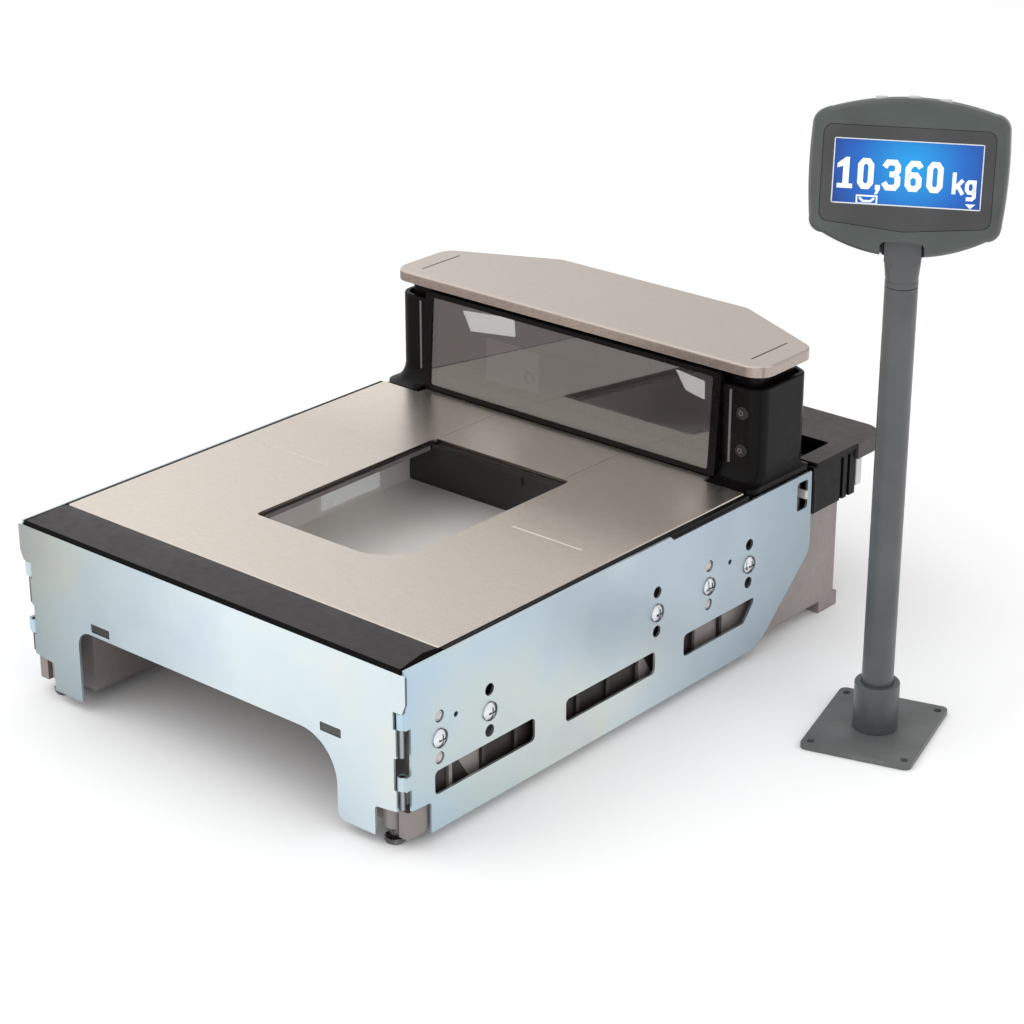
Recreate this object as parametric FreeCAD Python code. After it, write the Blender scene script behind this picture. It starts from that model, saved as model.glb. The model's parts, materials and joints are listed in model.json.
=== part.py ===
import FreeCAD, Part
import math
import os

# A drop-in checkout scanner scale with a separate weight display on a pole.
# Millimetres, +Z up. X runs across the width, Y from the operator to the tower.
# The origin is the centre of the body's footprint, on the shelf of the counter well.

# Body, from the front panel's face to the rear edge of the side panels
BODY_WIDTH = 292.0
BODY_LENGTH = 356.0
PLATTER_TOP = 107.0
RUNNING_GAP = 0.3
SEAT_GAP = 0.2

# Zinc-plated skirt panels
SHEET = 1.5
SKIRT_BOTTOM = 6.0
FRONT_PANEL_TOP = 104.0
SIDE_PANEL_TOP = 106.0
SIDE_PANEL_STEP_AT = 218.5
SIDE_PANEL_STEP_DROP = 2.8
EAR_LAP = 1.5
EAR_BOTTOM = 82.0
ARCH_LEFT = -102.0
ARCH_RIGHT = 98.4
ARCH_TOP = 51.7
ARCH_LEFT_RADIUS = 10.0
ARCH_RIGHT_RADIUS = 26.0
ARCH_LEG_RADIUS = 5.0
FRONT_SLOT_LENGTH = 15.0
FRONT_SLOT_HEIGHT = 5.2
FRONT_SLOT_CENTRES = (-82.7, 94.5)
FRONT_SLOT_LEVEL = 56.4
CORNER_CUT_WIDTH = 21.0
CORNER_CUT_DEPTH = 20.0
CORNER_CUT_TOP = 25.0
KNUCKLE_CLEAR_WIDTH = 7.2
PIN_CLEAR_WIDTH = 4.0
UPPER_KNUCKLE = (72.5, 81.5)
LOWER_KNUCKLE = (37.5, 45.5)
PIN_RADIUS = 1.75
PIN_INSET = 3.8
KNUCKLE_WALL = 0.75
UPPER_PIN = (56.0, 81.0)
LOWER_PIN = (26.0, 45.0)
SLOT_LOW = 26.7
SLOT_HIGH = 40.5
SLOT_RADIUS = 3.0
SLOT_SPANS = ((23.0, 102.3), (128.3, 206.6))
SLANT_SLOT_START = 233.0
SLANT_SLOT_LOW_END = 291.0
SLANT_SLOT_HIGH_END = 302.5
LATCH_SLOT = (340.8, 351.3, 81.0, 99.0)
LATCH_PEG_WIDTH = 2.6
LATCH_PEG_HEIGHT = 5.0
LATCH_PEG_RISE = 5.8
SCREW_POINTS = ((27.0, 58.6), (65.7, 58.7), (207.5, 63.8), (255.6, 63.1), (294.0, 63.4))
HOLE_RADIUS = 3.5
HOLE_RISE = 12.6
HOLE_FALL = 11.4
PEG_HOLES = ((39.5, 67.4), (275.3, 71.5))
PEG_HOLE_RADIUS = 1.6
BOTTOM_FLANGE = 7.0
BOTTOM_FLANGE_END = 296.0
REAR_SLOPE_TOP_AT = 355.0
REAR_SLOPE_LEVEL = 52.0
REAR_TOE_AT = 311.4
REAR_TOE_LEVEL = 11.0
REAR_HEEL_AT = 301.0

# Panel screws
SCREW_RADIUS = 2.0
SCREW_HOLE_RADIUS = 2.2
SCREW_HEAD_RADIUS = 5.4
SCREW_HEAD_HEIGHT = 2.6
SCREW_LENGTH = 8.0
RECESS_WIDTH = 1.1
RECESS_DEPTH = 1.4

# Base casting
CASTING_WALL = 3.5
CASTING_SIDE_GAP = 4.5
CASTING_FRONT = 12.0
CASTING_REAR = 397.0
CASTING_BOTTOM = 8.0
CASTING_RIM = 98.0
CASTING_SHOULDER_AT = 352.0
CASTING_REAR_TOP = 74.0
FLOOR_LEVEL = 56.0
TUNNEL_HALF_WIDTH = 104.0
TUNNEL_END = 290.0
BOSS_RADIUS = 6.0
RIB_PITCH = 26.0
RIB_THICKNESS = 2.5
RIB_DEPTH = 2.0
REAR_PAD_WIDTH = 22.0
REAR_PAD_LENGTH = 19.0
CORNER_BLOCK_WIDTH = 6.5
CORNER_BLOCK_AT = 5.0
FOOT_BOSS_RADIUS = 6.0
FOOT_BOSS_BOTTOM = 10.0

# Levelling feet
FOOT_X = 129.5
FOOT_AT = 10.0
FOOT_STEM_RADIUS = 3.0
FOOT_STEM_TOP = 23.0
FOOT_BORE_RADIUS = 3.06
FOOT_PAD_RADIUS = 5.6
FOOT_PAD_HEIGHT = 3.4
FOOT_TRAVEL = 3.0

# Optics
TUB_HALF_WIDTH = 93.0
TUB_FRONT = 60.0
TUB_REAR = 265.0
TUB_FLOOR = 62.0
TUB_RIM = 98.4
TUB_WALL = 2.5
BENCH_LENGTH = 26.0
MIRROR_THICKNESS = 1.5
REAR_MIRROR = (-46.0, -1.0, 82.0, 96.5)
SIDE_MIRROR = (186.0, 236.0, 66.0, 92.0)
POLYGON_X = 62.0
POLYGON_AT = 78.0
POLYGON_RADIUS = 15.0
POLYGON_FACETS = 6
POLYGON_HEIGHT = 9.0
POLYGON_SHAFT_RADIUS = 1.5
POLYGON_BORE_CLEARANCE = 0.05
MOTOR_RADIUS = 12.0
MOTOR_HEIGHT = 7.0
LASER_RADIUS = 5.0
LASER_LENGTH = 26.0

# Weighing
CELL_WIDTH = 24.0
CELL_HEIGHT = 22.0
CELL_LENGTH = 130.0
CELL_X = 116.5
CELL_FRONT = 90.0
CELL_PEDESTAL = 9.0
CELL_HOLE_RADIUS = 7.0
WEIGH_TRAVEL = 0.4
WEIGH_STOP_MARGIN = 0.2
CARRIER_TOP = 102.0
CARRIER_THICKNESS = 5.0
CARRIER_HALF_WIDTH = 134.0
CARRIER_FRONT = 40.0
CARRIER_REAR = 290.0
CARRIER_BAR = 34.0
CARRIER_CROSS_BAR = 15.0
LIGHTENING_STATIONS = (150.0, 190.0, 230.0)
LIGHTENING_LENGTH = 26.0
LIGHTENING_WIDTH = 16.0
PAD_RADIUS = 6.0

# Platter
PLATTER_SHEET = 1.5
PLATTER_HALF_WIDTH = 141.2
PLATTER_FRONT = 31.3
PLATTER_PILLAR_EDGE = 294.0
PLATTER_REAR_GAP = 0.3
PLATTER_NECK_HALF_WIDTH = 112.0
PLATTER_CORNER = 1.5
PLATTER_SKIRT = 5.0
WINDOW_LEFT = -50.0
WINDOW_RIGHT = 54.0
WINDOW_FRONT = 91.0
WINDOW_REAR = 242.0
WINDOW_BIG_RADIUS = 28.0
WINDOW_SMALL_RADIUS = 4.5
WINDOW_RADIUS = 3.0
CENTRE_PLATE_HALF_WIDTH = 49.3
CENTRE_PLATE_SEAM = 0.4
GROOVES = ((-122.4, -71.1, 168.5), (71.1, 120.9, 171.3))
GROOVE_WIDTH = 1.2
GROOVE_DEPTH = 0.4
GLASS_LAP = 6.0
GLASS_THICKNESS = 3.0
FRAME_RIM = 6.0
FRAME_BOTTOM = 99.6
FRAME_TAIL = 300.0
FRAME_TAIL_BOTTOM = 102.8

# Front bezel and side rails
BEZEL_HALF_WIDTH = 144.0
BEZEL_FRONT = 0.5
BEZEL_CREST_AT = 21.0
BEZEL_CREST_RISE = 0.5
BEZEL_NOSE_DROP = 1.0
BEZEL_BOTTOM = 98.3
BEZEL_WALL = 2.5
BEZEL_END_BEVEL = 4.0
RAIL_TOP = 106.3
RAIL_BOTTOM = 98.1

# Tower
TOWER_HALF_WIDTH = 140.0
TOWER_FRONT = 306.5
TOWER_SIDE_END = 354.0
TOWER_BACK_HALF_WIDTH = 71.0
TOWER_BACK = 386.0
TOWER_HEIGHT = 63.5
TOWER_CORNER = 11.0
TOWER_BACK_CORNER = 8.0
TOWER_WALL = 3.0
TOWER_SKIRT_BOTTOM = 98.3
PILLAR_INNER = 114.4
FLARE_FRONT = 294.6
FLARE_HALF_WIDTH = 143.6
FLARE_INNER = 112.8
FLARE_REAR = 356.0
FLARE_HEIGHT = 10.0
WINDOW_FRAME_HALF_WIDTH = 114.0
WINDOW_FRAME_AT = 301.0
WINDOW_FRAME_BAR = 5.5
WINDOW_FRAME_SILL = 3.0
WINDOW_FRAME_DEPTH = 4.5
WINDOW_LEAN = 3.5
TOWER_GLASS = 2.5
TOWER_RIM_DROP = 6.5
TOWER_RIM_RADIUS = 1.0
NECK_INSET = 6.0
NECK_WALL = 2.0
NECK_SHELF_DROP = 4.0
NECK_SHELF = 2.0
NECK_BAR = 3.0
GASKET_HEIGHT = 2.0
GASKET_INSET = 5.0
GASKET_WIDTH = 4.5
COVER_HALF_WIDTH = 142.6
COVER_FRONT = 304.7
COVER_SIDE_END = 355.4
COVER_BACK_HALF_WIDTH = 72.5
COVER_BACK = 388.4
COVER_HEIGHT = 6.7
COVER_SHEET = 1.5
COVER_CORNER = 12.0
COVER_EDGE_RADIUS = 1.4
COVER_GROOVE_X = 127.0
COVER_GROOVE_AT = 316.0
COVER_GROOVE_LENGTH = 35.0
LENS_X = 120.3
LENS_WIDTH = 1.5
LENS_SPAN = (117.0, 162.0)
LENS_PROUD = 0.3
KEY_X = 128.7
KEY_LEVELS = {"zero_button": 149.0, "volume_button": 126.0}
KEY_RADIUS = 4.1
KEY_PROUD = 0.6
KEY_TRAVEL = 1.0
KEY_FLANGE = 1.0
KEY_FLAT = 1.4

# Rear housing
REAR_HALF_WIDTH = 146.0
REAR_FRONT = 357.0
REAR_BACK = 403.0
REAR_BOTTOM = 74.3
REAR_WALL = 3.0
LEDGE_OVERHANG = 1.5
LEDGE_FRONT = 358.0
LEDGE_BACK = 400.5
LEDGE_THICKNESS = 3.0
BAY_HALF_WIDTH = 134.0
BAY_BACK = 390.0
DECK_OVERHANG = 2.0
DECK_LENGTH = 31.1
DECK_SEAM = 0.4
DECK_BOTTOM = 96.6
DECK_TOP = 106.6
DECK_CORNER = 15.0
DECK_WALL = 2.5
GROOVE_STATIONS = (385.5, 392.5)
SOCKET_CENTRES = (96.0, 112.0, 128.0)
SOCKET_WIDTH = 13.0
SOCKET_HEIGHT = 12.0
SOCKET_DEPTH = 16.0
SOCKET_LEVEL = 85.0
SOCKET_MOUTH = (10.0, 8.0)
SOCKET_MOUTH_DEPTH = 11.0
POWER_X = -110.0
POWER_RADIUS = 6.0
POWER_BORE_RADIUS = 3.4

# Electronics
BOARD_THICKNESS = 1.6
BOARD_LEVEL = 22.0
BOARD_HALF_WIDTH = 100.0
BOARD_FRONT = 303.0
BOARD_LENGTH = 81.0
BOARD_CHIPS = ((-60.0, 22.0, 25.0, 25.0, 2.5), (10.0, 15.0, 18.0, 18.0, 2.0),
               (50.0, 42.0, 8.0, 30.0, 6.0))
STANDOFF_RADIUS = 4.0
SPEAKER_RADIUS = 16.0
SPEAKER_HEIGHT = 10.0
SPEAKER_X = -119.0
SPEAKER_AT = 330.0

# Weight display on its pole
STAND_X = 250.4
STAND_AT = 273.0
BASE_TURN = 16.0
PLATE_X = 63.5
PLATE_Y = 76.5
PLATE_THICKNESS = 3.0
PLATE_CORNER = 4.0
PLATE_HOLES = (53.5, 64.0)
PLATE_HOLE_RADIUS = 2.2
COLLAR_RADIUS = 12.6
COLLAR_TOP = 31.0
POLE_RADIUS = 8.8
POLE_WALL = 1.5
POLE_TOP = 261.0
SLIP_FIT = 0.06
HEAD_TURN = 28.5
HEAD_TILT = 12.0
PIVOT_LEVEL = 286.0
PIVOT_RADIUS = 2.5
NECK_WIDTH = 19.0
NECK_DEPTH = 13.0
NECK_SPIGOT = 22.0
HEAD_HALF_WIDTH = 50.0
HEAD_SHOULDER = 47.0
SCREEN_RISE = 35.0
SCREEN_FORWARD = 15.0
HEAD_TOP = 37.5
HEAD_TOP_CORNER = 31.0
HEAD_BOTTOM = 43.5
HEAD_BOTTOM_CORNER = 33.0
HEAD_WALL = 2.5
HEAD_ROLL_INSET = 3.4
HEAD_ROLL_DEPTH = 5.0
HEAD_BACK = 15.0
HEAD_NOTCH_HALF_WIDTH = 11.5
HEAD_NOTCH_DROP = 35.5
NECK_POCKET_TOP = 7.0
FACE_HALF_WIDTH = 43.6
FACE_TOP = 23.0
FACE_BOTTOM = 26.0
FACE_BOW = 4.0
FACE_CORNER = 5.0
FACE_THICKNESS = 1.5
SCREEN_WIDTH = 76.0
SCREEN_HEIGHT = 33.5
SCREEN_CENTRE_DROP = 0.4
LCD_BORDER = 2.0
LCD_THICKNESS = 2.5
DISPLAY_KEYS = {"left": -16.0, "middle": 0.5, "right": 16.5}
DISPLAY_KEY_RADIUS = 3.2
DISPLAY_KEY_HEIGHT = 4.6
DISPLAY_KEY_PROUD = 1.2
DISPLAY_KEY_TRAVEL = 0.8
DISPLAY_KEY_AT = 5.5
DISPLAY_KEY_GAP = 0.25
DISPLAY_KEY_LAP = 1.0
DISPLAY_KEY_FLANGE = 0.8
DISPLAY_KEY_ROUND = 0.6
DISPLAY_KEY_SLOPE = 0.05
EAR_THICKNESS = 4.0
EAR_REACH = 3.5
POCKET_ROOF = 2.5

HALF = BODY_WIDTH / 2
FRONT = -BODY_LENGTH / 2
PANEL_INNER = HALF - SHEET
CASTING_HALF = PANEL_INNER - CASTING_SIDE_GAP
PIN_X = HALF - PIN_INSET
KNUCKLE_RADIUS = PIN_RADIUS + SLIP_FIT + KNUCKLE_WALL
PIN_AT = KNUCKLE_RADIUS + 0.1
TOWER_TOP = PLATTER_TOP + TOWER_HEIGHT
PLATTER_REAR = WINDOW_FRAME_AT - PLATTER_REAR_GAP
TOWER_RIM = TOWER_TOP - TOWER_RIM_DROP
COVER_BOTTOM = TOWER_TOP + GASKET_HEIGHT
COVER_TOP = COVER_BOTTOM + COVER_HEIGHT
LEDGE_HALF_WIDTH = REAR_HALF_WIDTH + LEDGE_OVERHANG
DECK_HALF_WIDTH = REAR_HALF_WIDTH + DECK_OVERHANG
DECK_BACK = LEDGE_BACK + DECK_SEAM + DECK_LENGTH


def vec(x, y, z):
    return FreeCAD.Vector(x, y, z)


def back(distance):
    """Y of a point that lies this far behind the front panel's face."""
    return FRONT + distance


def rounded_wire(corners, place):
    """Closed outline through (a, b, radius) corners, drawn in the plane that place maps to."""
    starts, ends, arcs = [], [], []
    count = len(corners)
    for i, (a, b, radius) in enumerate(corners):
        here = FreeCAD.Vector(a, b, 0)
        before = FreeCAD.Vector(corners[i - 1][0], corners[i - 1][1], 0) - here
        after = FreeCAD.Vector(corners[(i + 1) % count][0], corners[(i + 1) % count][1], 0) - here
        if radius <= 0:
            starts.append(here)
            ends.append(here)
            arcs.append(None)
            continue
        half = before.getAngle(after) / 2
        reach = radius / math.tan(half)
        before.normalize()
        after.normalize()
        bisector = before + after
        bisector.normalize()
        centre = here + bisector * (radius / math.sin(half))
        starts.append(here + before * reach)
        ends.append(here + after * reach)
        arcs.append(centre - bisector * radius)
    edges = []
    for i in range(count):
        if arcs[i]:
            arc = Part.Arc(place(starts[i]), place(arcs[i]), place(ends[i]))
            edges.append(arc.toShape())
        following = starts[(i + 1) % count]
        if ends[i].distanceToPoint(following) > 1e-6:
            edges.append(Part.makeLine(place(ends[i]), place(following)))
    return Part.Wire(edges)


def plan(corners, low, high):
    """Prism from an outline seen from above."""
    wire = rounded_wire(corners, lambda p: vec(p.x, p.y, low))
    return Part.Face(wire).extrude(vec(0, 0, high - low))


def elevation(corners, near, far):
    """Prism from an outline seen from the front, between two values of Y."""
    wire = rounded_wire(corners, lambda p: vec(p.x, near, p.y))
    return Part.Face(wire).extrude(vec(0, far - near, 0))


def side_view(corners, left, right):
    """Prism from an outline seen from the side, between two values of X."""
    wire = rounded_wire(corners, lambda p: vec(left, p.x, p.y))
    return Part.Face(wire).extrude(vec(right - left, 0, 0))


def block(x0, x1, y0, y1, z0, z1):
    return Part.makeBox(x1 - x0, y1 - y0, z1 - z0, vec(x0, y0, z0))


def rectangle(x0, x1, y0, y1, radius=0.0):
    return [(x0, y0, radius), (x1, y0, radius), (x1, y1, radius), (x0, y1, radius)]


def rod(radius, start, direction, length):
    return Part.makeCylinder(radius, length, start, direction)


def join(shapes):
    whole = shapes[0]
    if len(shapes) > 1:
        whole = whole.multiFuse(shapes[1:])
    return whole.removeSplitter()


def flipped(shape):
    return shape.mirror(vec(0, 0, 0), vec(1, 0, 0))


def both(shape):
    return [shape, flipped(shape)]


def save(node, shape):
    if not shape.isValid():
        print("not valid:", node)
    solids = shape.Solids
    whole = solids[0] if len(solids) == 1 else Part.makeCompound(solids)
    whole.exportStep("parts/" + node + ".step")
    print(node, len(solids), round(sum(s.Volume for s in solids)))


def front_panel_outline():
    """Half outline of the front panel's right side, from the top down to the arch."""
    edge_upper = PIN_X - PIN_RADIUS - SLIP_FIT
    knuckle_edge = HALF - KNUCKLE_CLEAR_WIDTH
    return [
        (HALF + EAR_LAP, FRONT_PANEL_TOP, 1.5),
        (HALF + EAR_LAP, EAR_BOTTOM + 6, 3.0),
        (HALF - 1.0, EAR_BOTTOM, 0),
        (knuckle_edge, EAR_BOTTOM, 0),
        (knuckle_edge, UPPER_KNUCKLE[0] - 0.5, 0),
        (edge_upper, UPPER_KNUCKLE[0] - 0.5, 0),
        (edge_upper, UPPER_PIN[0] - 0.5, 0),
        (edge_upper - 1.6, UPPER_PIN[0] - 0.5, 0),
        (edge_upper - 1.6, LOWER_KNUCKLE[1], 0),
        (knuckle_edge, LOWER_KNUCKLE[1], 0),
        (knuckle_edge, LOWER_KNUCKLE[0] - 0.5, 0),
        (edge_upper, LOWER_KNUCKLE[0] - 0.5, 0),
        (edge_upper, CORNER_CUT_TOP, 0),
        (HALF - CORNER_CUT_WIDTH, CORNER_CUT_TOP - 2, 2.0),
        (HALF - CORNER_CUT_WIDTH, SKIRT_BOTTOM, 1.0),
    ]


def front_panel():
    right = front_panel_outline()
    left = [(-x, z, r) for x, z, r in reversed(right)]
    arch = [
        (ARCH_RIGHT, SKIRT_BOTTOM, ARCH_LEG_RADIUS),
        (ARCH_RIGHT, ARCH_TOP, ARCH_RIGHT_RADIUS),
        (ARCH_LEFT, ARCH_TOP, ARCH_LEFT_RADIUS),
        (ARCH_LEFT, SKIRT_BOTTOM, 1.0),
    ]
    panel = elevation(right + arch + left, FRONT, FRONT + SHEET)
    for centre in FRONT_SLOT_CENTRES:
        low = FRONT_SLOT_LEVEL - FRONT_SLOT_HEIGHT / 2
        slot = elevation(rectangle(centre - FRONT_SLOT_LENGTH / 2, centre + FRONT_SLOT_LENGTH / 2,
                                   low, low + FRONT_SLOT_HEIGHT, 0.5), FRONT - 1, FRONT + SHEET + 1)
        panel = panel.cut(slot)
    hem = block(-HALF + 12, HALF - 12, FRONT + SHEET, FRONT + SHEET + 7,
                FRONT_PANEL_TOP - SHEET, FRONT_PANEL_TOP)
    return join([panel, hem])


def side_panel_outline():
    top_rear = SIDE_PANEL_TOP - SIDE_PANEL_STEP_DROP
    edge = back(SHEET + 0.1)
    relief = back(SHEET + PIN_CLEAR_WIDTH)
    return [
        (edge, SIDE_PANEL_TOP, 0),
        (back(SIDE_PANEL_STEP_AT), SIDE_PANEL_TOP, 0),
        (back(SIDE_PANEL_STEP_AT + 3), top_rear, 0),
        (back(REAR_SLOPE_TOP_AT), top_rear, 1.5),
        (back(BODY_LENGTH), REAR_SLOPE_LEVEL, 12.0),
        (back(REAR_TOE_AT), REAR_TOE_LEVEL, 8.0),
        (back(REAR_HEEL_AT), SKIRT_BOTTOM, 4.0),
        (back(CORNER_CUT_DEPTH), SKIRT_BOTTOM, 1.0),
        (back(CORNER_CUT_DEPTH), CORNER_CUT_TOP - 1, 2.0),
        (relief, CORNER_CUT_TOP, 0),
        (relief, LOWER_KNUCKLE[0], 0),
        (edge, LOWER_KNUCKLE[0], 0),
        (edge, LOWER_KNUCKLE[1], 0),
        (relief, LOWER_KNUCKLE[1], 0),
        (relief, UPPER_KNUCKLE[0], 0),
        (edge, UPPER_KNUCKLE[0], 0),
    ]


def side_panel():
    """Right-hand skirt: slots, fastener columns, knuckles and a turned-in lower edge."""
    panel = side_view(side_panel_outline(), PANEL_INNER, HALF)
    through = (PANEL_INNER - 1, HALF + 1)
    cuts = [side_view(rectangle(back(a), back(b), SLOT_LOW, SLOT_HIGH, SLOT_RADIUS), *through)
            for a, b in SLOT_SPANS]
    slant = [
        (back(SLANT_SLOT_START), SLOT_LOW, SLOT_RADIUS),
        (back(SLANT_SLOT_LOW_END), SLOT_LOW, 2.0),
        (back(SLANT_SLOT_HIGH_END), SLOT_HIGH, 2.0),
        (back(SLANT_SLOT_START), SLOT_HIGH, SLOT_RADIUS),
    ]
    cuts.append(side_view(slant, *through))
    y0, y1, z0, z1 = LATCH_SLOT
    cuts.append(side_view(rectangle(back(y0), back(y1), z0, z1, 2.0), *through))
    for at, level in SCREW_POINTS:
        cuts.append(rod(SCREW_HOLE_RADIUS, vec(through[0], back(at), level), vec(1, 0, 0), SHEET + 2))
        for hole in (level + HOLE_RISE, level - HOLE_FALL):
            cuts.append(rod(HOLE_RADIUS, vec(through[0], back(at), hole), vec(1, 0, 0), SHEET + 2))
    for at, level in PEG_HOLES:
        cuts.append(rod(PEG_HOLE_RADIUS, vec(through[0], back(at), level), vec(1, 0, 0), SHEET + 2))
    panel = panel.cut(Part.makeCompound(cuts))
    flange = block(PANEL_INNER - BOTTOM_FLANGE, PANEL_INNER, back(CORNER_CUT_DEPTH + 4),
                   back(BOTTOM_FLANGE_END), SKIRT_BOTTOM, SKIRT_BOTTOM + SHEET)
    parts = [panel, flange]
    for low, high in (UPPER_KNUCKLE, LOWER_KNUCKLE):
        barrel = rod(KNUCKLE_RADIUS, vec(PIN_X, back(PIN_AT), low), vec(0, 0, 1), high - low)
        web = block(PIN_X, HALF - SHEET / 2, back(PIN_AT), back(PIN_AT + KNUCKLE_RADIUS), low, high)
        parts.append(join([barrel, web]))
    whole = join(parts)
    for low, high in (UPPER_KNUCKLE, LOWER_KNUCKLE):
        bore = rod(PIN_RADIUS + SLIP_FIT, vec(PIN_X, back(PIN_AT), low - 1), vec(0, 0, 1),
                   high - low + 2)
        whole = whole.cut(bore)
    return whole


def corner_pins():
    pins = []
    for low, high in (UPPER_PIN, LOWER_PIN):
        pins += both(rod(PIN_RADIUS, vec(PIN_X, back(PIN_AT), low), vec(0, 0, 1), high - low))
    return Part.makeCompound(pins)


def panel_screw(at, level):
    """Domed head with a cross recess, and its plain shank, pointing inwards."""
    rim = 0.9
    profile = Part.Wire([
        Part.makeLine(vec(0, 0, -SCREW_LENGTH), vec(SCREW_RADIUS, 0, -SCREW_LENGTH)),
        Part.makeLine(vec(SCREW_RADIUS, 0, -SCREW_LENGTH), vec(SCREW_RADIUS, 0, 0)),
        Part.makeLine(vec(SCREW_RADIUS, 0, 0), vec(SCREW_HEAD_RADIUS, 0, 0)),
        Part.makeLine(vec(SCREW_HEAD_RADIUS, 0, 0), vec(SCREW_HEAD_RADIUS, 0, rim)),
        Part.Arc(vec(SCREW_HEAD_RADIUS, 0, rim),
                 vec(SCREW_HEAD_RADIUS * 0.62, 0, SCREW_HEAD_HEIGHT * 0.84),
                 vec(0, 0, SCREW_HEAD_HEIGHT)).toShape(),
        Part.makeLine(vec(0, 0, SCREW_HEAD_HEIGHT), vec(0, 0, -SCREW_LENGTH)),
    ])
    screw = Part.Face(profile).revolve(vec(0, 0, 0), vec(0, 0, 1), 360)
    arm = SCREW_HEAD_RADIUS * 0.55
    low = SCREW_HEAD_HEIGHT - RECESS_DEPTH
    for x, y in ((arm, RECESS_WIDTH / 2), (RECESS_WIDTH / 2, arm)):
        screw = screw.cut(block(-x, x, -y, y, low, SCREW_HEAD_HEIGHT + 1))
    screw.rotate(vec(0, 0, 0), vec(0, 1, 0), 90)
    screw.translate(vec(HALF, back(at), level))
    return screw


def panel_screws():
    screws = []
    for at, level in SCREW_POINTS:
        screws += both(panel_screw(at, level))
    return Part.makeCompound(screws)


def casting_side_details():
    """Bosses under the panel screws and the ribs seen through the panel slots."""
    parts = []
    inside = CASTING_HALF - CASTING_WALL
    for at, level in SCREW_POINTS:
        parts.append(rod(BOSS_RADIUS, vec(inside - 4, back(at), level), vec(1, 0, 0),
                         PANEL_INNER - inside + 4))
    station = CASTING_FRONT + RIB_PITCH
    while station < TUNNEL_END:
        parts.append(block(CASTING_HALF - 1, CASTING_HALF + RIB_DEPTH, back(station),
                           back(station + RIB_THICKNESS), CASTING_BOTTOM + 2, SLOT_HIGH + 6))
        station += RIB_PITCH
    parts.append(block(HALF - 2.5 - CORNER_BLOCK_WIDTH, HALF - 2.5, back(CORNER_BLOCK_AT),
                       back(CORNER_CUT_DEPTH + 0.5), SKIRT_BOTTOM + 1, CORNER_CUT_TOP - 2))
    parts.append(rod(FOOT_BOSS_RADIUS, vec(FOOT_X, back(FOOT_AT), FOOT_BOSS_BOTTOM), vec(0, 0, 1),
                     CORNER_CUT_TOP - 2 - FOOT_BOSS_BOTTOM))
    parts.append(block(CASTING_HALF - REAR_PAD_WIDTH, CASTING_HALF, back(CASTING_REAR - REAR_PAD_LENGTH),
                       back(CASTING_REAR), 0, CASTING_BOTTOM + 1))
    return parts


def casting_standoffs():
    parts = []
    for x in (-BOARD_HALF_WIDTH + 8, BOARD_HALF_WIDTH - 8):
        for at in (BOARD_FRONT + 8, BOARD_FRONT + BOARD_LENGTH - 8):
            parts.append(rod(STANDOFF_RADIUS, vec(x, back(at), CASTING_BOTTOM + 1), vec(0, 0, 1),
                             BOARD_LEVEL - CASTING_BOTTOM - 1))
    return parts


def base_casting():
    """Open-topped casting: a raised floor over the front tunnel, hollow legs and a deep rear bay."""
    half = CASTING_HALF
    inside = half - CASTING_WALL
    outer = plan(rectangle(-half, half, back(CASTING_FRONT), back(CASTING_REAR), 6.0),
                 CASTING_BOTTOM, CASTING_RIM)
    rear_step = block(-half - 1, half + 1, back(CASTING_SHOULDER_AT), back(CASTING_REAR + 1),
                      CASTING_REAR_TOP, CASTING_RIM + 1)
    tunnel = block(-TUNNEL_HALF_WIDTH, TUNNEL_HALF_WIDTH, back(CASTING_FRONT - 1), back(TUNNEL_END),
                   CASTING_BOTTOM - 1, FLOOR_LEVEL - CASTING_WALL)
    upper = plan(rectangle(-inside, inside, back(CASTING_FRONT + CASTING_WALL),
                           back(CASTING_SHOULDER_AT - CASTING_WALL), 3.0), FLOOR_LEVEL, CASTING_RIM + 1)
    rear = plan(rectangle(-inside, inside, back(TUNNEL_END + CASTING_WALL),
                          back(CASTING_REAR - CASTING_WALL), 3.0),
                CASTING_BOTTOM + CASTING_WALL, CASTING_REAR_TOP + 1)
    legs = both(block(TUNNEL_HALF_WIDTH + CASTING_WALL, inside, back(CASTING_FRONT + CASTING_WALL),
                      back(TUNNEL_END), CASTING_BOTTOM - 1, FLOOR_LEVEL - CASTING_WALL))
    body = outer.cut(Part.makeCompound([rear_step, tunnel]))
    body = body.cut(upper).cut(rear)
    for leg in legs:
        body = body.cut(leg)
    details = casting_side_details()
    details += [flipped(part) for part in details]
    pedestals = both(block(CELL_X - CELL_WIDTH / 2, CELL_X + CELL_WIDTH / 2,
                           back(CELL_FRONT + CELL_LENGTH - 34), back(CELL_FRONT + CELL_LENGTH),
                           FLOOR_LEVEL - 1, FLOOR_LEVEL + CELL_PEDESTAL))
    body = join([body] + details + pedestals + casting_standoffs())
    holes = []
    for at, level in SCREW_POINTS:
        holes += both(rod(SCREW_HOLE_RADIUS, vec(HALF - SCREW_LENGTH - 1, back(at), level),
                          vec(1, 0, 0), SCREW_LENGTH + 1))
    holes += both(rod(FOOT_BORE_RADIUS, vec(FOOT_X, back(FOOT_AT), 0), vec(0, 0, 1),
                      FOOT_STEM_TOP + FOOT_TRAVEL + 1))
    return body.cut(Part.makeCompound(holes))


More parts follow.
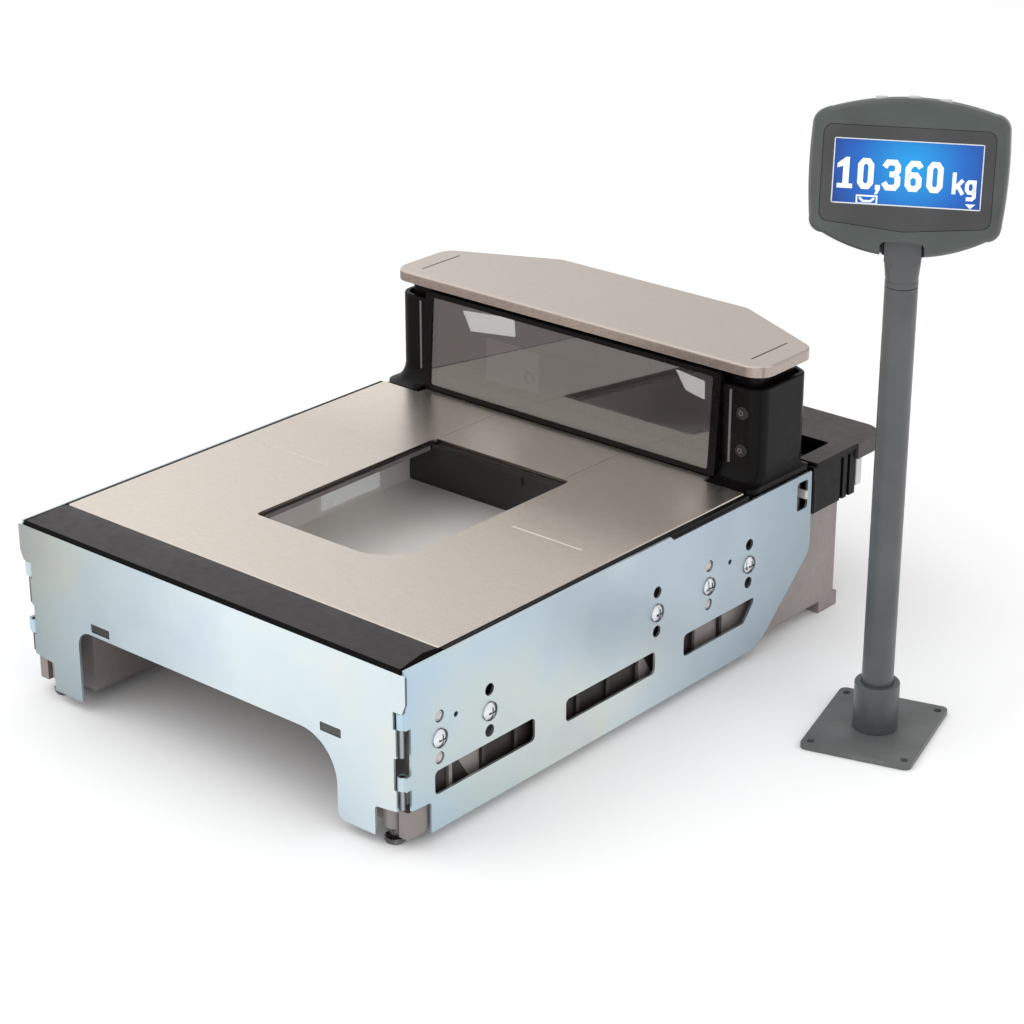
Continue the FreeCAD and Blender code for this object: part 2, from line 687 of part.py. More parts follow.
def levelling_foot():
    """Right-hand foot: a knurled pad on a screwed stem."""
    pad = Part.makeCone(FOOT_PAD_RADIUS - 0.8, FOOT_PAD_RADIUS, 1.2)
    pad = join([pad, Part.makeCylinder(FOOT_PAD_RADIUS, FOOT_PAD_HEIGHT - 1.2, vec(0, 0, 1.2))])
    grips = []
    for turn in range(12):
        angle = math.radians(turn * 30)
        grips.append(rod(0.6, vec(FOOT_PAD_RADIUS * math.cos(angle), FOOT_PAD_RADIUS * math.sin(angle), 1.2),
                         vec(0, 0, 1), FOOT_PAD_HEIGHT))
    pad = pad.cut(Part.makeCompound(grips))
    stem = Part.makeCylinder(FOOT_STEM_RADIUS, FOOT_STEM_TOP - FOOT_PAD_HEIGHT + 1,
                             vec(0, 0, FOOT_PAD_HEIGHT - 1))
    foot = join([pad, stem])
    foot.translate(vec(FOOT_X, back(FOOT_AT), 0))
    return foot


def front_bezel():
    """Faceted black nose in front of the platter, hollow underneath, with bevelled ends."""
    rear = back(PLATTER_FRONT) - RUNNING_GAP
    crest = PLATTER_TOP + BEZEL_CREST_RISE
    nose = PLATTER_TOP - BEZEL_NOSE_DROP
    lip = FRONT_PANEL_TOP + 0.1
    outer = [
        (rear, BEZEL_BOTTOM, 0), (rear, PLATTER_TOP - 0.2, 0.5), (back(BEZEL_CREST_AT), crest, 0),
        (back(BEZEL_FRONT + 1.5), nose, 1.0), (back(BEZEL_FRONT - 0.4), lip, 0),
        (back(CASTING_FRONT - 2), lip, 0), (back(CASTING_FRONT - 2), BEZEL_BOTTOM, 0),
    ]
    body = side_view(outer, -BEZEL_HALF_WIDTH, BEZEL_HALF_WIDTH)
    wall = BEZEL_WALL
    inner = [
        (rear - wall, BEZEL_BOTTOM - 1, 0), (rear - wall, PLATTER_TOP - wall, 0),
        (back(BEZEL_CREST_AT), crest - wall, 0), (back(CASTING_FRONT), nose - wall, 0),
        (back(CASTING_FRONT), BEZEL_BOTTOM - 1, 0),
    ]
    body = body.cut(side_view(inner, -BEZEL_HALF_WIDTH + wall, BEZEL_HALF_WIDTH - wall))
    bevel = elevation([
        (BEZEL_HALF_WIDTH - BEZEL_END_BEVEL, crest + 0.5, 0), (BEZEL_HALF_WIDTH + 1, crest + 0.5, 0),
        (BEZEL_HALF_WIDTH + 1, PLATTER_TOP - 3, 0)], back(-5), back(40))
    for cutter in both(bevel):
        body = body.cut(cutter)
    return body


def side_rail():
    """Right-hand rail: an upright that fills the gap beside the platter, on an inward foot."""
    y0 = back(PLATTER_FRONT + 1)
    y1 = back(FLARE_FRONT) - RUNNING_GAP
    outer = PANEL_INNER - 0.1
    inner = PLATTER_HALF_WIDTH + 2 * RUNNING_GAP
    upright = plan([(inner, y0, 0), (outer, y0, 0), (outer, y1, 0), (inner, y1, 0)],
                   RAIL_BOTTOM, RAIL_TOP)
    foot = block(CASTING_HALF - CASTING_WALL, outer, y0, y1, RAIL_BOTTOM, RAIL_BOTTOM + 1.4)
    return join([upright, foot])


def window_outline(grow):
    return [
        (WINDOW_LEFT - grow, back(WINDOW_FRONT) - grow, WINDOW_RADIUS),
        (WINDOW_RIGHT + grow, back(WINDOW_FRONT) - grow, WINDOW_BIG_RADIUS + grow),
        (WINDOW_RIGHT + grow, back(WINDOW_REAR) + grow, WINDOW_RADIUS),
        (WINDOW_LEFT - grow, back(WINDOW_REAR) + grow, WINDOW_SMALL_RADIUS),
    ]


def platter():
    """Pressed stainless tray with a turned-down edge, scan window and two engraved lines."""
    half = PLATTER_HALF_WIDTH
    neck = PLATTER_NECK_HALF_WIDTH
    outline = [
        (-half, back(PLATTER_FRONT), PLATTER_CORNER), (half, back(PLATTER_FRONT), PLATTER_CORNER),
        (half, back(PLATTER_PILLAR_EDGE), PLATTER_CORNER), (neck, back(PLATTER_PILLAR_EDGE), 1.0),
        (neck, back(PLATTER_REAR), 0), (-neck, back(PLATTER_REAR), 0),
        (-neck, back(PLATTER_PILLAR_EDGE), 1.0), (-half, back(PLATTER_PILLAR_EDGE), PLATTER_CORNER),
    ]
    sheet_bottom = PLATTER_TOP - PLATTER_SHEET
    sheet = plan(outline, sheet_bottom, PLATTER_TOP)
    edges = [e for e in sheet.Edges
             if abs(e.BoundBox.ZMin - PLATTER_TOP) < 1e-6 and e.BoundBox.YMax < back(PLATTER_PILLAR_EDGE) + 1e-3]
    sheet = sheet.makeFillet(0.8, edges)
    skirt_outer = rectangle(-half, half, back(PLATTER_FRONT), back(PLATTER_PILLAR_EDGE), PLATTER_CORNER)
    wall = PLATTER_SHEET
    skirt = plan(skirt_outer, sheet_bottom - PLATTER_SKIRT, sheet_bottom + 0.1)
    hollow = block(-half + wall, half - wall, back(PLATTER_FRONT) + wall,
                   back(PLATTER_PILLAR_EDGE) + 1, sheet_bottom - PLATTER_SKIRT - 1, sheet_bottom + 1)
    body = join([sheet, skirt.cut(hollow)])
    body = body.cut(plan(window_outline(0), sheet_bottom - 1, PLATTER_TOP + 1))
    seam = CENTRE_PLATE_HALF_WIDTH
    body = body.cut(block(-seam, seam, back(WINDOW_REAR) - 1, back(PLATTER_REAR) + 1,
                          sheet_bottom - 1, PLATTER_TOP + 1))
    for x0, x1, at in GROOVES:
        body = body.cut(block(x0, x1, back(at) - GROOVE_WIDTH / 2, back(at) + GROOVE_WIDTH / 2,
                              PLATTER_TOP - GROOVE_DEPTH, PLATTER_TOP + 1))
    return body


def centre_plate():
    half = CENTRE_PLATE_HALF_WIDTH - CENTRE_PLATE_SEAM
    return plan(rectangle(-half, half, back(WINDOW_REAR), back(PLATTER_REAR), 0.5),
                PLATTER_TOP - PLATTER_SHEET, PLATTER_TOP)


def platter_glass():
    top = PLATTER_TOP - PLATTER_SHEET
    return plan(window_outline(GLASS_LAP), top - GLASS_THICKNESS, top)


def platter_frame():
    """Black moulding under the platter: holds the glass and carries the centre plate."""
    top = PLATTER_TOP - PLATTER_SHEET
    ring = plan(window_outline(GLASS_LAP + FRAME_RIM), FRAME_BOTTOM, top)
    tail = block(-CENTRE_PLATE_HALF_WIDTH - 8, CENTRE_PLATE_HALF_WIDTH + 8,
                 back(WINDOW_REAR + GLASS_LAP + 1), back(FRAME_TAIL), FRAME_TAIL_BOTTOM, top)
    body = join([ring, tail])
    body = body.cut(plan(window_outline(GLASS_LAP + 0.1), top - GLASS_THICKNESS - 0.1, top + 1))
    return body.cut(plan(window_outline(GLASS_LAP - 4), FRAME_BOTTOM - 1, top + 1))


def weigh_carrier():
    """Ring frame between the load cells and the platter, with posts down to the cells."""
    low = CARRIER_TOP - CARRIER_THICKNESS
    half = CARRIER_HALF_WIDTH
    outer = plan(rectangle(-half, half, back(CARRIER_FRONT), back(CARRIER_REAR), 8.0), low, CARRIER_TOP)
    inner = plan(rectangle(-half + CARRIER_BAR, half - CARRIER_BAR, back(CARRIER_FRONT + CARRIER_CROSS_BAR),
                           back(CARRIER_REAR - CARRIER_CROSS_BAR), 6.0), low - 1, CARRIER_TOP + 1)
    cell_top = FLOOR_LEVEL + CELL_PEDESTAL + CELL_HEIGHT
    post = block(CELL_X - CELL_WIDTH / 2 + 2, CELL_X + CELL_WIDTH / 2 - 2, back(CELL_FRONT + 2),
                 back(CELL_FRONT + 28), cell_top + WEIGH_TRAVEL + WEIGH_STOP_MARGIN, low + 1)
    lightening = []
    for x in (-CELL_X, CELL_X):
        for at in LIGHTENING_STATIONS:
            side = LIGHTENING_WIDTH / 2
            lightening.append(plan(rectangle(x - side, x + side, back(at), back(at + LIGHTENING_LENGTH), 6.0),
                                   low - 1, CARRIER_TOP + 1))
    ring = outer.cut(inner).cut(Part.makeCompound(lightening))
    return join([ring] + both(post))


def platter_pads():
    pads = []
    for x in (-CELL_X, CELL_X):
        for at in (CARRIER_FRONT + 14, CARRIER_REAR - 14):
            pads.append(rod(PAD_RADIUS, vec(x, back(at), CARRIER_TOP), vec(0, 0, 1),
                            PLATTER_TOP - PLATTER_SHEET - SEAT_GAP - CARRIER_TOP))
    return Part.makeCompound(pads)


def load_cells():
    """Bending-beam cells: an aluminium bar with the usual pair of joined holes."""
    low = FLOOR_LEVEL + CELL_PEDESTAL
    bar = block(CELL_X - CELL_WIDTH / 2, CELL_X + CELL_WIDTH / 2, back(CELL_FRONT),
                back(CELL_FRONT + CELL_LENGTH), low, low + CELL_HEIGHT)
    middle = back(CELL_FRONT + CELL_LENGTH / 2)
    level = low + CELL_HEIGHT / 2
    for offset in (-13, 13):
        bar = bar.cut(rod(CELL_HOLE_RADIUS, vec(CELL_X - CELL_WIDTH, middle + offset, level),
                          vec(1, 0, 0), CELL_WIDTH * 2))
    bar = bar.cut(block(CELL_X - CELL_WIDTH, CELL_X + CELL_WIDTH, middle - 13, middle + 13,
                        level - 2, level + 2))
    return Part.makeCompound(both(bar))


def optics_tub():
    wall = TUB_WALL
    half = TUB_HALF_WIDTH
    outer = plan(rectangle(-half - wall, half + wall, back(TUB_FRONT) - wall, back(TUB_REAR), 4.0),
                 TUB_FLOOR - wall, TUB_RIM)
    inner = plan(rectangle(-half, half, back(TUB_FRONT), back(TUB_REAR) + 1, 1.5), TUB_FLOOR, TUB_RIM + 1)
    feet = []
    for x in (-half + 10, half - 10):
        for at in (TUB_FRONT + 15, TUB_REAR - 15):
            feet.append(rod(5.0, vec(x, back(at), FLOOR_LEVEL), vec(0, 0, 1), TUB_FLOOR - wall - FLOOR_LEVEL + 1))
    return join([outer.cut(inner)] + feet)


def optics_bench():
    """Black block behind the tub that closes it and carries the rear mirror."""
    half = TUB_HALF_WIDTH + TUB_WALL
    body = block(-half, half, back(TUB_REAR), back(TUB_REAR + BENCH_LENGTH), FLOOR_LEVEL, TUB_RIM - 2)
    hollow = block(-half + 4, half - 4, back(TUB_REAR + 4), back(TUB_REAR + BENCH_LENGTH) + 1,
                   FLOOR_LEVEL - 1, TUB_RIM - 6)
    return body.cut(hollow)


def scan_mirrors():
    x0, x1, z0, z1 = REAR_MIRROR
    rear = block(x0, x1, back(TUB_REAR) - MIRROR_THICKNESS, back(TUB_REAR), z0, z1)
    y0, y1, z0, z1 = SIDE_MIRROR
    side = block(-TUB_HALF_WIDTH, -TUB_HALF_WIDTH + MIRROR_THICKNESS, back(y0), back(y1), z0, z1)
    return Part.makeCompound([rear, side, flipped(side)])


def polygon_motor():
    body = Part.makeCylinder(MOTOR_RADIUS, MOTOR_HEIGHT)
    top = Part.makeCone(MOTOR_RADIUS, MOTOR_RADIUS - 3, 2.0, vec(0, 0, MOTOR_HEIGHT))
    shaft = Part.makeCylinder(POLYGON_SHAFT_RADIUS, POLYGON_HEIGHT + 5, vec(0, 0, MOTOR_HEIGHT))
    motor = join([body, top, shaft])
    motor.translate(vec(POLYGON_X, back(POLYGON_AT), TUB_FLOOR))
    return motor


def polygon_mirror():
    corners = []
    for i in range(POLYGON_FACETS):
        angle = 2 * math.pi * i / POLYGON_FACETS
        corners.append((POLYGON_RADIUS * math.cos(angle), POLYGON_RADIUS * math.sin(angle), 0))
    low = MOTOR_HEIGHT + 2.0 + 0.5
    wheel = plan(corners, low, low + POLYGON_HEIGHT)
    recess = Part.makeCylinder(POLYGON_RADIUS * 0.55, 2.0, vec(0, 0, low + POLYGON_HEIGHT - 2.0))
    hub = Part.makeCylinder(4.0, 2.0, vec(0, 0, low + POLYGON_HEIGHT - 2.0))
    wheel = wheel.cut(recess.cut(hub))
    wheel = wheel.cut(Part.makeCylinder(POLYGON_SHAFT_RADIUS + POLYGON_BORE_CLEARANCE, 40, vec(0, 0, 0)))
    wheel.translate(vec(POLYGON_X, back(POLYGON_AT), TUB_FLOOR))
    return wheel


def laser_module():
    level = TUB_FLOOR + MOTOR_HEIGHT + 2.5 + POLYGON_HEIGHT / 2
    x1 = POLYGON_X - POLYGON_RADIUS - 8
    barrel = rod(LASER_RADIUS, vec(x1 - LASER_LENGTH, back(POLYGON_AT), level), vec(1, 0, 0), LASER_LENGTH)
    saddle = block(x1 - LASER_LENGTH + 4, x1 - 6, back(POLYGON_AT) - 7, back(POLYGON_AT) + 7,
                   TUB_FLOOR, level)
    return join([barrel, saddle])


def tower_outline(inset):
    """Elongated hexagon of the tower seen from above, drawn smaller by the inset."""
    half = TOWER_HALF_WIDTH - inset
    slope = math.atan2(TOWER_BACK - TOWER_SIDE_END, TOWER_HALF_WIDTH - TOWER_BACK_HALF_WIDTH)
    side_end = TOWER_SIDE_END - inset * math.tan(math.pi / 4 - slope / 2)
    back_half = TOWER_BACK_HALF_WIDTH - inset * math.tan(slope / 2)
    front = back(TOWER_FRONT + inset)
    corner = max(TOWER_CORNER - inset, 1.0)
    rear_corner = max(TOWER_BACK_CORNER - inset, 1.0)
    return [
        (-half, front, corner), (half, front, corner), (half, back(side_end), rear_corner),
        (back_half, back(TOWER_BACK - inset), rear_corner),
        (-back_half, back(TOWER_BACK - inset), rear_corner), (-half, back(side_end), rear_corner),
    ]


def flare_wire(share, level):
    """Plan section of a pillar's spreading foot; share 1 is the pillar, 0 the bottom."""
    def between(foot, pillar):
        return foot + (pillar - foot) * share
    inner = between(FLARE_INNER, PILLAR_INNER)
    outer = between(FLARE_HALF_WIDTH, TOWER_HALF_WIDTH)
    near = back(between(FLARE_FRONT, TOWER_FRONT))
    far = back(between(FLARE_REAR, TOWER_SIDE_END - 4))
    corners = [(inner, near, 0.8), (outer, near, TOWER_CORNER), (outer, far, 3.0), (inner, far, 0.8)]
    return rounded_wire(corners, lambda p: vec(p.x, p.y, level))


def pillar_flare():
    """Right-hand foot of the tower, spreading in a hollow curve down to the platter."""
    sections = []
    for share, rise in ((0.0, 0.0), (0.55, 0.1), (0.8, 0.34), (0.94, 0.66), (1.0, 1.0)):
        sections.append(flare_wire(share, PLATTER_TOP + FLARE_HEIGHT * rise))
    spread = Part.makeLoft(sections, True, True)
    foot = Part.Face(flare_wire(0.0, TOWER_SKIRT_BOTTOM)).extrude(
        vec(0, 0, PLATTER_TOP - TOWER_SKIRT_BOTTOM))
    return join([spread, foot])


def tower_neck():
    """Ring inside the tower's rim that stands up to the gasket, on a shelf along the wall."""
    low = TOWER_RIM - NECK_SHELF_DROP
    ring = plan(tower_outline(NECK_INSET), low, TOWER_TOP)
    shelf = plan(tower_outline(TOWER_WALL - 0.5), low - NECK_SHELF, low)
    hollow = plan(tower_outline(NECK_INSET + NECK_WALL), low - NECK_SHELF - 1, TOWER_TOP + 1)
    window = block(-PILLAR_INNER, PILLAR_INNER, back(TOWER_FRONT), back(TOWER_FRONT + NECK_INSET + NECK_WALL + 1),
                   low - NECK_SHELF - 1, TOWER_TOP - NECK_BAR)
    return join([ring, shelf]).cut(hollow).cut(window)


def tower_housing():
    """Black moulded tower: two pillars on flared feet, a faceted back and an open front."""
    shell = plan(tower_outline(0), PLATTER_TOP - 6, TOWER_RIM)
    rim = [e for e in shell.Edges if e.BoundBox.ZMin > TOWER_RIM - 1e-6]
    shell = shell.makeFillet(TOWER_RIM_RADIUS, rim)
    shell = join([shell] + both(pillar_flare()))
    inner = plan(tower_outline(TOWER_WALL), TOWER_SKIRT_BOTTOM - 1, TOWER_TOP + 1)
    shell = shell.cut(inner)
    opening = PILLAR_INNER
    shell = shell.cut(block(-opening, opening, back(TOWER_FRONT - 20), back(TOWER_FRONT + TOWER_WALL + 0.5),
                            PLATTER_TOP - 7, TOWER_TOP + 1))
    cheek = block(opening, opening + TOWER_WALL, back(TOWER_FRONT + 1), back(TOWER_FRONT + 18),
                  PLATTER_TOP - 6, TOWER_RIM - 0.5)
    sill = block(-opening - 1, opening + 1, back(TOWER_FRONT - 2.5), back(TOWER_FRONT + TOWER_WALL),
                 TOWER_SKIRT_BOTTOM, PLATTER_TOP - 0.5)
    tie_half = TOWER_HALF_WIDTH - TOWER_WALL + 1
    tie = block(-tie_half, tie_half, back(TOWER_SIDE_END - 10), back(TOWER_SIDE_END - 6),
                TOWER_SKIRT_BOTTOM, PLATTER_TOP)
    shell = join([shell, sill, tie, tower_neck()] + both(cheek))
    tools = both(block(LENS_X - LENS_WIDTH / 2 - 0.1, LENS_X + LENS_WIDTH / 2 + 0.1,
                       back(TOWER_FRONT - 1), back(TOWER_FRONT + TOWER_WALL + 1),
                       LENS_SPAN[0] - 0.1, LENS_SPAN[1] + 0.1))
    for level in KEY_LEVELS.values():
        tools.append(rod(KEY_RADIUS + RUNNING_GAP, vec(KEY_X, back(TOWER_FRONT - 1), level), vec(0, 1, 0),
                         TOWER_WALL + 3))
    return shell.cut(Part.makeCompound(tools))


def lean(shape):
    """Tips a piece of the tower window back about its lower front edge."""
    shape.rotate(vec(0, back(WINDOW_FRAME_AT), PLATTER_TOP), vec(1, 0, 0), -WINDOW_LEAN)
    return shape


def tower_window_frame():
    half = WINDOW_FRAME_HALF_WIDTH
    near = back(WINDOW_FRAME_AT)
    low = PLATTER_TOP + 0.3
    high = TOWER_TOP - 0.2
    outer = elevation(rectangle(-half, half, low, high, 2.0), near, near + WINDOW_FRAME_DEPTH)
    bar = WINDOW_FRAME_BAR
    inner = rectangle(-half + bar, half - bar, low + WINDOW_FRAME_SILL, high - WINDOW_FRAME_SILL, 2.0)
    body = outer.cut(elevation(inner, near - 1, near + WINDOW_FRAME_DEPTH + 1))
    seat = rectangle(-half + 2, half - 2, low + 1.2, high - 1.2, 1.5)
    body = body.cut(elevation(seat, near + 0.8, near + 0.8 + TOWER_GLASS + 0.1))
    return lean(body)


def tower_glass():
    half = WINDOW_FRAME_HALF_WIDTH - 2.1
    near = back(WINDOW_FRAME_AT) + 0.8
    pane = elevation(rectangle(-half, half, PLATTER_TOP + 1.6, TOWER_TOP - 1.5, 1.5), near, near + TOWER_GLASS)
    return lean(pane)


def cover_gasket():
    ring = plan(tower_outline(GASKET_INSET), TOWER_TOP, COVER_BOTTOM)
    return ring.cut(plan(tower_outline(GASKET_INSET + GASKET_WIDTH), TOWER_TOP - 1, COVER_BOTTOM + 1))


def cover_outline(inset):
    slope = math.atan2(COVER_BACK - COVER_SIDE_END, COVER_HALF_WIDTH - COVER_BACK_HALF_WIDTH)
    half = COVER_HALF_WIDTH - inset
    side_end = COVER_SIDE_END - inset * math.tan(math.pi / 4 - slope / 2)
    back_half = COVER_BACK_HALF_WIDTH - inset * math.tan(slope / 2)
    corner = COVER_CORNER - inset
    return [
        (-half, back(COVER_FRONT + inset), corner), (half, back(COVER_FRONT + inset), corner),
        (half, back(side_end), corner), (back_half, back(COVER_BACK - inset), corner),
        (-back_half, back(COVER_BACK - inset), corner), (-half, back(side_end), corner),
    ]


def tower_cover():
    """Stainless pressing: a shallow hexagonal pan turned upside down on the gasket."""
    pan = plan(cover_outline(0), COVER_BOTTOM, COVER_TOP)
    top_edges = [e for e in pan.Edges if e.BoundBox.ZMin > COVER_TOP - 1e-6]
    pan = pan.makeFillet(COVER_EDGE_RADIUS, top_edges)
    pan = pan.cut(plan(cover_outline(COVER_SHEET), COVER_BOTTOM - 1, COVER_TOP - COVER_SHEET))
    stiffener = plan(tower_outline(GASKET_INSET), COVER_BOTTOM, COVER_BOTTOM + 2)
    stiffener = stiffener.cut(plan(tower_outline(GASKET_INSET + GASKET_WIDTH), COVER_BOTTOM - 1,
                                   COVER_BOTTOM + 3))
    posts = []
    for x in (-TOWER_HALF_WIDTH + 20, TOWER_HALF_WIDTH - 20):
        posts.append(block(x - 8, x + 8, back(TOWER_FRONT + 3), back(TOWER_FRONT + 8), COVER_BOTTOM + 1,
                           COVER_TOP - COVER_SHEET + 0.1))
    for x in (-40.0, 40.0):
        posts.append(block(x - 8, x + 8, back(TOWER_BACK - 8), back(TOWER_BACK - 3), COVER_BOTTOM + 1,
                           COVER_TOP - COVER_SHEET + 0.1))
    body = join([pan, stiffener] + posts)
    groove = block(COVER_GROOVE_X - 0.5, COVER_GROOVE_X + 0.5, back(COVER_GROOVE_AT),
                   back(COVER_GROOVE_AT + COVER_GROOVE_LENGTH),
                   COVER_TOP - GROOVE_DEPTH, COVER_TOP + 1)
    for cutter in both(groove):
        body = body.cut(cutter)
    return body


def status_lenses():
    lens = block(LENS_X - LENS_WIDTH / 2, LENS_X + LENS_WIDTH / 2, back(TOWER_FRONT - LENS_PROUD),
                 back(TOWER_FRONT + TOWER_WALL), *LENS_SPAN)
    return Part.makeCompound(both(lens))


def tower_key(level):
    """Round key with a D-shaped flange behind the pillar wall that keeps it in and square."""
    face = back(TOWER_FRONT - KEY_PROUD)
    inner = back(TOWER_FRONT + TOWER_WALL) + SEAT_GAP
    profile = rod(KEY_RADIUS, vec(KEY_X, face, level), vec(0, 1, 0), inner - face)
    rim = [e for e in profile.Edges if e.BoundBox.YMax < face + 1e-6]
    profile = profile.makeFillet(0.5, rim)
    flange = rod(KEY_RADIUS + 1.2, vec(KEY_X, inner, level), vec(0, 1, 0), KEY_FLANGE)
    flat = TOWER_HALF_WIDTH - TOWER_CORNER + KEY_FLAT
    flange = flange.cut(block(flat, flat + 10, inner - 1, inner + KEY_FLANGE + 1, level - 10, level + 10))
    return join([profile, flange])


def key_board():
    near = back(TOWER_FRONT + TOWER_WALL) + SEAT_GAP + KEY_FLANGE + KEY_TRAVEL + RUNNING_GAP
    levels = sorted(KEY_LEVELS.values())
    return block(PILLAR_INNER + TOWER_WALL, TOWER_HALF_WIDTH - TOWER_CORNER + TOWER_WALL, near,
                 near + BOARD_THICKNESS, levels[0] - 12, TOWER_RIM - NECK_SHELF_DROP - NECK_SHELF - SEAT_GAP)


def rear_housing():
    """Black rear moulding: closed below, open above into the connector bay, with a flat rim."""
    half = REAR_HALF_WIDTH
    lower = plan(rectangle(-half, half, back(REAR_FRONT), back(REAR_BACK), 2.0), REAR_BOTTOM,
                 DECK_BOTTOM - RUNNING_GAP)
    neck = block(-half, half, back(REAR_FRONT), back(LEDGE_BACK), DECK_BOTTOM - 1,
                 PLATTER_TOP - LEDGE_THICKNESS)
    rim = plan(rectangle(-LEDGE_HALF_WIDTH, LEDGE_HALF_WIDTH, back(LEDGE_FRONT), back(LEDGE_BACK), 1.0),
               PLATTER_TOP - LEDGE_THICKNESS, PLATTER_TOP)
    body = join([lower, neck, rim])
    wall = REAR_WALL
    bay = block(-half + wall, half - wall, back(REAR_FRONT) + wall, back(LEDGE_BACK) - wall,
                REAR_BOTTOM + wall, PLATTER_TOP - LEDGE_THICKNESS)
    mouth = plan(rectangle(-BAY_HALF_WIDTH, BAY_HALF_WIDTH, back(LEDGE_FRONT - 2), back(BAY_BACK), 1.0),
                 REAR_BOTTOM + wall, PLATTER_TOP + 1)
    slot = block(-TOWER_BACK_HALF_WIDTH, TOWER_BACK_HALF_WIDTH, back(REAR_FRONT) + wall, back(BAY_BACK),
                 REAR_BOTTOM - 1, REAR_BOTTOM + wall + 1)
    body = body.cut(bay).cut(mouth).cut(slot)
    relief = block(-BAY_HALF_WIDTH, BAY_HALF_WIDTH, back(REAR_FRONT) - 1, back(REAR_FRONT) + wall + 1,
                   PLATTER_TOP - 9, PLATTER_TOP + 1)
    body = body.cut(relief)
    cuts = []
    for at in GROOVE_STATIONS:
        cuts += both(block(half - 1.5, half + 1, back(at), back(at + 3), REAR_BOTTOM - 1, DECK_BOTTOM + 5))
    for x in SOCKET_CENTRES:
        w = SOCKET_WIDTH / 2 + 0.2
        h = SOCKET_HEIGHT / 2 + 0.2
        cuts.append(block(x - w, x + w, back(LEDGE_BACK) - wall - 1, back(REAR_BACK) + 1,
                          SOCKET_LEVEL - h, SOCKET_LEVEL + h))
    cuts.append(rod(POWER_RADIUS + 0.2, vec(POWER_X, back(LEDGE_BACK) - wall - 1, SOCKET_LEVEL), vec(0, 1, 0),
                    wall + 5))
    for cutter in cuts:
        body = body.cut(cutter)
    return body


def rear_deck():
    """Overhanging black shelf behind the bay, a shell that is open underneath."""
    near = back(LEDGE_BACK + DECK_SEAM)
    wall = DECK_WALL
    outer = [(-DECK_HALF_WIDTH, near, 0.5), (DECK_HALF_WIDTH, near, 0.5),
             (DECK_HALF_WIDTH, back(DECK_BACK), DECK_CORNER), (-DECK_HALF_WIDTH, back(DECK_BACK), DECK_CORNER)]
    inner = [(-DECK_HALF_WIDTH + wall, near + wall, 0.5), (DECK_HALF_WIDTH - wall, near + wall, 0.5),
             (DECK_HALF_WIDTH - wall, back(DECK_BACK) - wall, DECK_CORNER - wall),
             (-DECK_HALF_WIDTH + wall, back(DECK_BACK) - wall, DECK_CORNER - wall)]
    body = plan(outer, DECK_BOTTOM, DECK_TOP)
    body = body.cut(plan(inner, DECK_BOTTOM - 1, DECK_TOP - wall))
    ribs = []
    for x in (-90.0, -30.0, 30.0, 90.0):
        ribs.append(block(x - 1, x + 1, near + 1, back(DECK_BACK) - 1, DECK_BOTTOM + 2, DECK_TOP - 1))
    return join([body] + ribs)


def data_sockets():
    rear = back(REAR_BACK) + 0.5
    shapes = []
    for x in SOCKET_CENTRES:
        shell = block(x - SOCKET_WIDTH / 2, x + SOCKET_WIDTH / 2, rear - SOCKET_DEPTH, rear,
                      SOCKET_LEVEL - SOCKET_HEIGHT / 2, SOCKET_LEVEL + SOCKET_HEIGHT / 2)
        mouth = block(x - SOCKET_MOUTH[0] / 2, x + SOCKET_MOUTH[0] / 2, rear - SOCKET_MOUTH_DEPTH, rear + 1,
                      SOCKET_LEVEL - SOCKET_MOUTH[1] / 2, SOCKET_LEVEL + SOCKET_MOUTH[1] / 2)
        shapes.append(shell.cut(mouth))
    return Part.makeCompound(shapes)


def power_socket():
    rear = back(REAR_BACK) + 0.5
    body = rod(POWER_RADIUS, vec(POWER_X, rear - SOCKET_DEPTH, SOCKET_LEVEL), vec(0, 1, 0), SOCKET_DEPTH)
    bore = rod(POWER_BORE_RADIUS, vec(POWER_X, rear - SOCKET_MOUTH_DEPTH, SOCKET_LEVEL), vec(0, 1, 0),
               SOCKET_MOUTH_DEPTH + 1)
    return body.cut(bore)


def main_board():
    board = block(-BOARD_HALF_WIDTH, BOARD_HALF_WIDTH, back(BOARD_FRONT), back(BOARD_FRONT + BOARD_LENGTH),
                  BOARD_LEVEL, BOARD_LEVEL + BOARD_THICKNESS)
    top = BOARD_LEVEL + BOARD_THICKNESS
    chips = []
    for x, inset, width, length, height in BOARD_CHIPS:
        near = back(BOARD_FRONT + inset)
        chips.append(block(x, x + width, near, near + length, top - 0.1, top + height))
    return join([board] + chips)


def speaker():
    centre = vec(SPEAKER_X, back(SPEAKER_AT), CASTING_BOTTOM + CASTING_WALL)
    basket = rod(SPEAKER_RADIUS, centre, vec(0, 0, 1), SPEAKER_HEIGHT * 0.4)
    cone = Part.makeCone(SPEAKER_RADIUS - 2, SPEAKER_RADIUS - 7, SPEAKER_HEIGHT * 0.6,
                         centre + vec(0, 0, SPEAKER_HEIGHT * 0.4))
    return join([basket, cone])


def latch_pegs():
    """Pegs of the tower that stand in the latch slots of the side panels."""
    y1 = back(LATCH_SLOT[1]) - 0.3
    low = LATCH_SLOT[2] + LATCH_PEG_RISE
    peg = side_view(rectangle(y1 - LATCH_PEG_WIDTH, y1, low, low + LATCH_PEG_HEIGHT, 0.6),
                    CASTING_HALF, HALF + 0.4)
    return Part.makeCompound(both(peg))


def stand_frame(shape, turn, level=0.0):
    """Puts a piece drawn about its own axis on the axis of the pole, turned about it."""
    shape.rotate(vec(0, 0, 0), vec(0, 0, 1), turn)
    shape.translate(vec(STAND_X, back(STAND_AT), level))
    return shape


